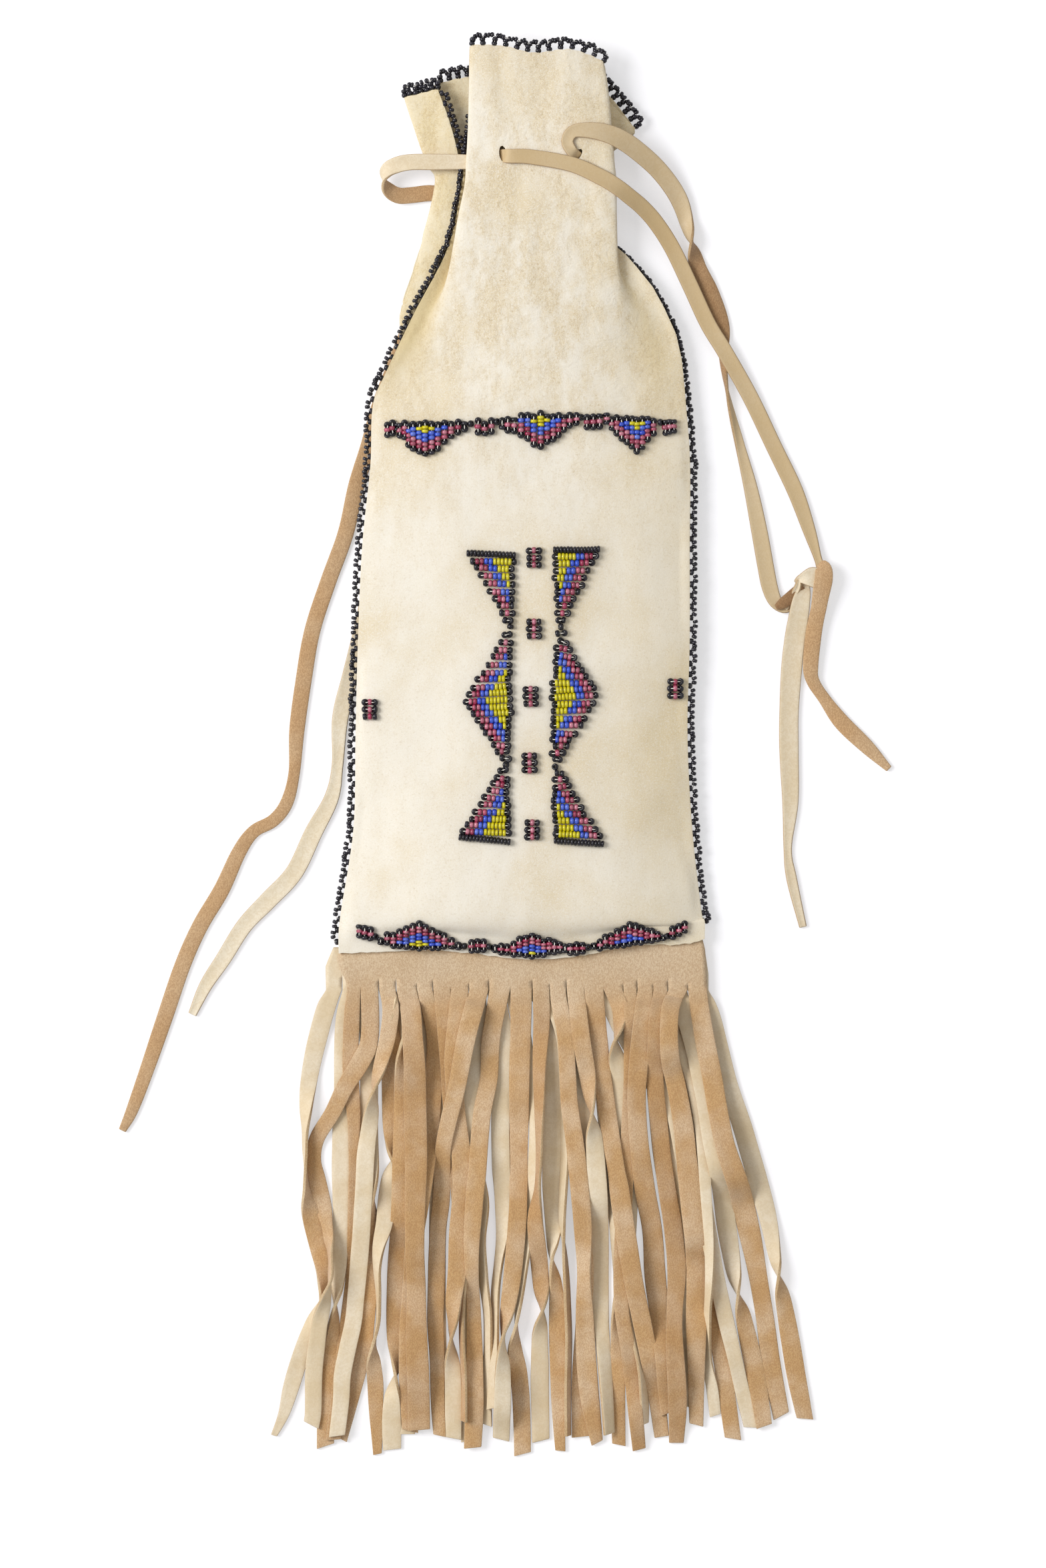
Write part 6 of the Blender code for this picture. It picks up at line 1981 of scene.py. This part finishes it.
@dataclass
class Edging:
    """Beads sewn over an edge.

    A picot unit has one bead flat against the edge and two that stand off it; a post unit has
    two beads stacked outwards with a rail of one to three beads to the next post.
    """

    work: BeadWork
    wide: float = 1.95 * MM
    long: float = 1.3 * MM
    post_wide: float = 2.15 * MM
    post_long: float = 1.45 * MM
    inner_wide: float = 2.2 * MM
    inner_reach: float = 0.6 * MM
    outer_reach: float = 1.85 * MM
    extra_share: float = 0.12
    post_foot: float = 0.8
    post_step: float = 1.35
    rail_long: float = 1.12 * MM
    rail_room: float = 0.95 * MM
    longer_share: float = 0.4

    def frames(self, line: np.ndarray, side: float, lean: np.ndarray, pitch: float) -> list:
        """Places along the edge, each with its along and outward ways.

        Args:
            line: Points of the edge in order.
            side: 1 where outwards is to the left of the line, -1 where to the right.
            lean: How far outwards tips up at each point, from 0 to 1.
            pitch: Distance between places.

        Returns:
            List of (spot, along, outwards).
        """
        line = resample(np.column_stack([line, lean]), pitch)
        places = []
        for number, spot in enumerate(line):
            ahead = line[min(number + 1, len(line) - 1), :3] - line[max(number - 1, 0), :3]
            along = Vector(ahead).normalized()
            flat = UP.cross(along).normalized() * side
            tip = spot[3] * math.pi / 2
            places.append((Vector(spot[:3]), along, flat * math.cos(tip) + UP * math.sin(tip)))
        return places

    def picots(
        self, line: np.ndarray, side: float, lean: np.ndarray, unit: float = 3.9 * MM
    ) -> None:
        """Sew picot units along an edge.

        Args:
            line: Points of the edge in order.
            side: 1 where outwards is to the left of the line, -1 where to the right.
            lean: How far outwards tips up at each point.
            unit: Length of a unit.
        """
        vary = self.work.vary
        places = self.frames(line, side, lean, unit / 2)
        thread = []
        for number, (spot, along, out) in enumerate(places):
            rise = out.cross(along).normalized()
            shift = along * vary(0.25 * MM)
            if number % 2 == 0:
                reach = self.inner_reach + vary(0.12 * MM)
                centre = spot + out * reach + shift + rise * vary(0.25 * MM)
                axis = out + along * vary(0.35) + rise * vary(0.5)
                self.work.add(centre, axis, Glass.BLACK, self.inner_wide, self.post_long)
                thread.extend((spot - out * 0.5 * MM, centre + out * 0.8 * MM))
                continue
            reach = self.outer_reach + vary(0.25 * MM)
            extra = self.work.chance.random() < self.extra_share
            apart = 1.15 * MM if extra else 0.76 * MM
            for step in ((-1, 0, 1) if extra else (-1, 1)):
                lift = rise * vary(0.3 * MM)
                outwards = out * (reach + (0.25 * MM if step == 0 else 0.0))
                centre = spot + outwards + along * step * apart + shift + lift
                axis = along + out * (-step * 0.3 + vary(0.22)) + rise * vary(0.3)
                self.work.add(centre, axis, Glass.BLACK, self.wide, self.long)
                thread.append(centre)
        self.work.thread(thread, 0.13 * MM)

    def posts(self, line: np.ndarray, side: float, pitch: float, rail: int = 3) -> None:
        """Sew post units along an edge.

        Args:
            line: Points of the edge in order.
            side: 1 where outwards is to the left of the line, -1 where to the right.
            pitch: Distance between posts.
            rail: Usual number of rail beads between two posts.
        """
        vary = self.work.vary
        places = self.frames(line, side, np.zeros(len(line)), pitch)
        tops = []
        for spot, along, out in places:
            lift = UP * vary(0.35 * MM)
            slant = along * vary(0.25)
            low = spot + out * self.post_foot * MM + lift
            upwards = (out + slant * 0.5).normalized()
            high = low + upwards * self.post_step * MM + along * vary(0.3 * MM)
            for centre in (low, high):
                axis = out + slant + UP * vary(0.4)
                self.work.add(centre, axis, Glass.BLACK, self.post_wide, self.post_long)
            self.work.thread([spot - out * 0.6 * MM, high + out * 0.9 * MM])
            tops.append((high + out * 1.0 * MM, out))
        for (start, out), (end, _) in zip(tops, tops[1:]):
            way = (end - start).normalized()
            room = (end - start).length
            wanted = rail + int(self.work.chance.random() < self.longer_share)
            count = max(1, min(wanted, int(room / self.rail_room)))
            line_points = [start]
            for number in range(count):
                share = (number + 1) / (count + 1)
                bow = out * (math.sin(math.pi * share) * 0.3 * MM + vary(0.4 * MM))
                centre = start.lerp(end, share) + bow + UP * vary(0.45 * MM)
                axis = way + out * vary(0.6) + UP * vary(0.5)
                self.work.add(centre, axis, Glass.BLACK, self.wide, self.rail_long)
                line_points.append(centre)
            self.work.thread([*line_points, end])


LEFT_LEANS = (
    (260, 0.9), (275, 0.9), (330, 0.85), (382, 0.7), (425, 0.4), (470, 0.2), (518, 0.05),
    (560, 0.0),
)
RIGHT_LEANS = (
    (368, -0.95), (424, -0.85), (480, -0.72), (540, -0.62), (610, -0.45), (700, -0.2), (780, 0.0),
)
SEAMS = (
    ("left_seam_beads", 0, (1412, 262), 1, LEFT_LEANS),
    ("right_seam_beads", -1, (1383, 368), -1, RIGHT_LEANS),
)
MOUTH_PITCH = 4.0 * MM
INNER_MOUTH_PITCH = 3.2 * MM
EAR_PITCH = 1.95 * MM
OPEN_SEAMS = (
    ("slit_back_beads", ((660, 143), (667, 164), (675, 187), (682, 208), (686, 230)), 0.56, 1),
    ("slit_front_beads", ((709, 172), (709, 190), (708, 205), (705, 228)), 0.6, -1),
)
EDGE_NODES = (
    "left_seam_beads", "right_seam_beads", "mouth_front_beads", "mouth_back_beads",
    "mouth_ear_beads", "slit_back_beads", "slit_front_beads",
)
FIRST_EDGE_SEED = 11


def panel_row(panel: HidePanel, low: int, high: int) -> np.ndarray:
    """Points along the mouth edge of a panel between two of its key columns."""
    cuts = panel.column_cuts
    return panel.points[-1, low * cuts:high * cuts + 1]


def seam_line(
    front: HidePanel, back: HidePanel, column: int, rows: tuple[float, float]
) -> np.ndarray:
    """Points midway between the two panels' sewn edges, between two pixel rows."""
    middle = (front.points[:, column] + back.points[:, column]) / 2
    low, high = (SCALE.place(0, row).y for row in rows)
    return middle[(middle[:, 1] > low) & (middle[:, 1] < high)]


def seam_leans(line: np.ndarray, leans: tuple) -> np.ndarray:
    """How far outwards tips up at each point of a seam, from (pixel row, share) pairs."""
    rows = [-SCALE.place(0, row).y for row, _ in leans]
    return np.interp(-line[:, 1], rows, [share for _, share in leans])


def build_edging(finishes: Finishes, bead: tuple, front: HidePanel, back: HidePanel) -> None:
    """Sew the edge beads along the seams, the mouth and the open neck corner.

    Args:
        finishes: The bag's materials.
        bead: The modelled bead.
        front: The finished front panel.
        back: The finished back panel.
    """
    rows = {
        node: Edging(BeadWork(f"{node}_row", node, "edge_beads", bead, FIRST_EDGE_SEED + number))
        for number, node in enumerate(EDGE_NODES)
    }
    for node, column, ends, side, leans in SEAMS:
        line = seam_line(front, back, column, ends)
        rows[node].picots(line, side, seam_leans(line, leans))
    rows["mouth_front_beads"].posts(panel_row(front, 2, 6), 1, MOUTH_PITCH)
    rows["mouth_back_beads"].posts(panel_row(back, 2, 6), 1, INNER_MOUTH_PITCH)
    rows["mouth_ear_beads"].posts(panel_row(back, 0, 1), -1, EAR_PITCH, rail=1)
    for node, pixels, share, side in OPEN_SEAMS:
        line = pixel_line(pixels, BAG_LOFT * share)
        rows[node].picots(line, side, np.zeros(len(line)))
    for edging in rows.values():
        edging.work.build(finishes)


# Stage, camera and light

WHITE = (1, 1, 1, 1)


@dataclass
class Studio:
    """Pale floor, soft light and the camera straight above the bag."""

    distance: float = 2.6
    frame_height: float = 2351 * 311 * MM / 1352
    floor_size: float = 6.0
    paper: str = "D9D8DC"
    paper_glow: float = 0.45
    sky: float = 0.46
    sensor: float = 36.0
    lamps: tuple = (
        ("soft_box_left", (-1.5, 0.4, 1.4), 1.1, 35.0),
        ("soft_box_right", (1.2, 0.6, 1.7), 1.0, 2.0),
    )

    def build(self) -> None:
        """Set the whole stage."""
        self.floor()
        self.lights()
        self.camera()
        scene = bpy.context.scene
        scene.view_settings.view_transform = "Standard"

    def floor(self) -> None:
        """A white sweep of paper that shows as white and keeps the bag's shadow."""
        deselect()
        bpy.ops.mesh.primitive_plane_add(size=self.floor_size, location=(0, 0, 0))
        thing = bpy.context.object
        thing.name = "paper_floor"
        material = bpy.data.materials.new("white_paper")
        material.use_nodes = True
        tree = material.node_tree
        tree.nodes.clear()
        paths = add_node(tree, "ShaderNodeLightPath")
        rays = [paths.outputs[f"Is {kind} Ray"] for kind in ("Camera", "Glossy", "Transmission")]
        seen = add_node(tree, "ShaderNodeMath", {0: calculate(tree, "ADD", *rays[:2]), 1: rays[2]},
                        operation="ADD", use_clamp=True).outputs[0]
        paper = add_node(tree, "ShaderNodeBsdfDiffuse", {0: hex_colour(self.paper)})
        glow = add_node(tree, "ShaderNodeEmission", {0: WHITE, 1: self.paper_glow})
        none = add_node(tree, "ShaderNodeEmission", {0: (0, 0, 0, 1), 1: 0.0})
        extra = add_node(tree, "ShaderNodeMixShader",
                         {0: seen, 1: none.outputs[0], 2: glow.outputs[0]})
        both = add_node(tree, "ShaderNodeAddShader", {0: paper.outputs[0], 1: extra.outputs[0]})
        add_node(tree, "ShaderNodeOutputMaterial", {0: both.outputs[0]})
        thing.data.materials.append(material)

    def lights(self) -> None:
        """Two soft boxes and an even sky."""
        world = bpy.data.worlds.new("studio")
        bpy.context.scene.world = world
        world.use_nodes = True
        tree = world.node_tree
        tree.nodes.clear()
        paths = add_node(tree, "ShaderNodeLightPath")
        dim = add_node(tree, "ShaderNodeBackground", {0: WHITE, 1: self.sky})
        white = add_node(tree, "ShaderNodeBackground", {0: WHITE, 1: 1.0})
        both = add_node(tree, "ShaderNodeMixShader", {0: paths.outputs["Is Camera Ray"],
                                                      1: dim.outputs[0], 2: white.outputs[0]})
        add_node(tree, "ShaderNodeOutputWorld", {0: both.outputs[0]})
        for name, spot, size, power in self.lamps:
            light = bpy.data.lights.new(name, "AREA")
            light.shape = "SQUARE"
            light.size = size
            light.energy = power
            lamp = bpy.data.objects.new(name, light)
            lamp.location = spot
            lamp.rotation_euler = (-Vector(spot)).to_track_quat("-Z", "Y").to_euler()
            bpy.context.scene.collection.objects.link(lamp)

    def camera(self) -> None:
        """A long lens looking straight down, framed as the photograph is."""
        data = bpy.data.cameras.new("camera")
        data.sensor_fit = "VERTICAL"
        data.sensor_height = self.sensor
        data.lens = data.sensor_height * self.distance / self.frame_height
        data.clip_end = 10.0
        thing = bpy.data.objects.new("camera", data)
        middle = SCALE.place(IMAGE_PIXELS[0] / 2, IMAGE_PIXELS[1] / 2)
        thing.location = (middle.x, middle.y, self.distance)
        bpy.context.scene.collection.objects.link(thing)
        bpy.context.scene.camera = thing


def main() -> None:
    """Build the bag piece by piece."""
    logging.basicConfig(level=logging.INFO, format="%(message)s")
    finishes = Finishes()
    Studio().build()
    front, back = build_panels(finishes)
    bead = SeedBead().model()
    LaneBeads(front.piece, bead).build(finishes)
    build_edging(finishes, bead, front, back)
    build_fringes(finishes)
    build_thongs(finishes)


if __name__ == "__main__":
    main()
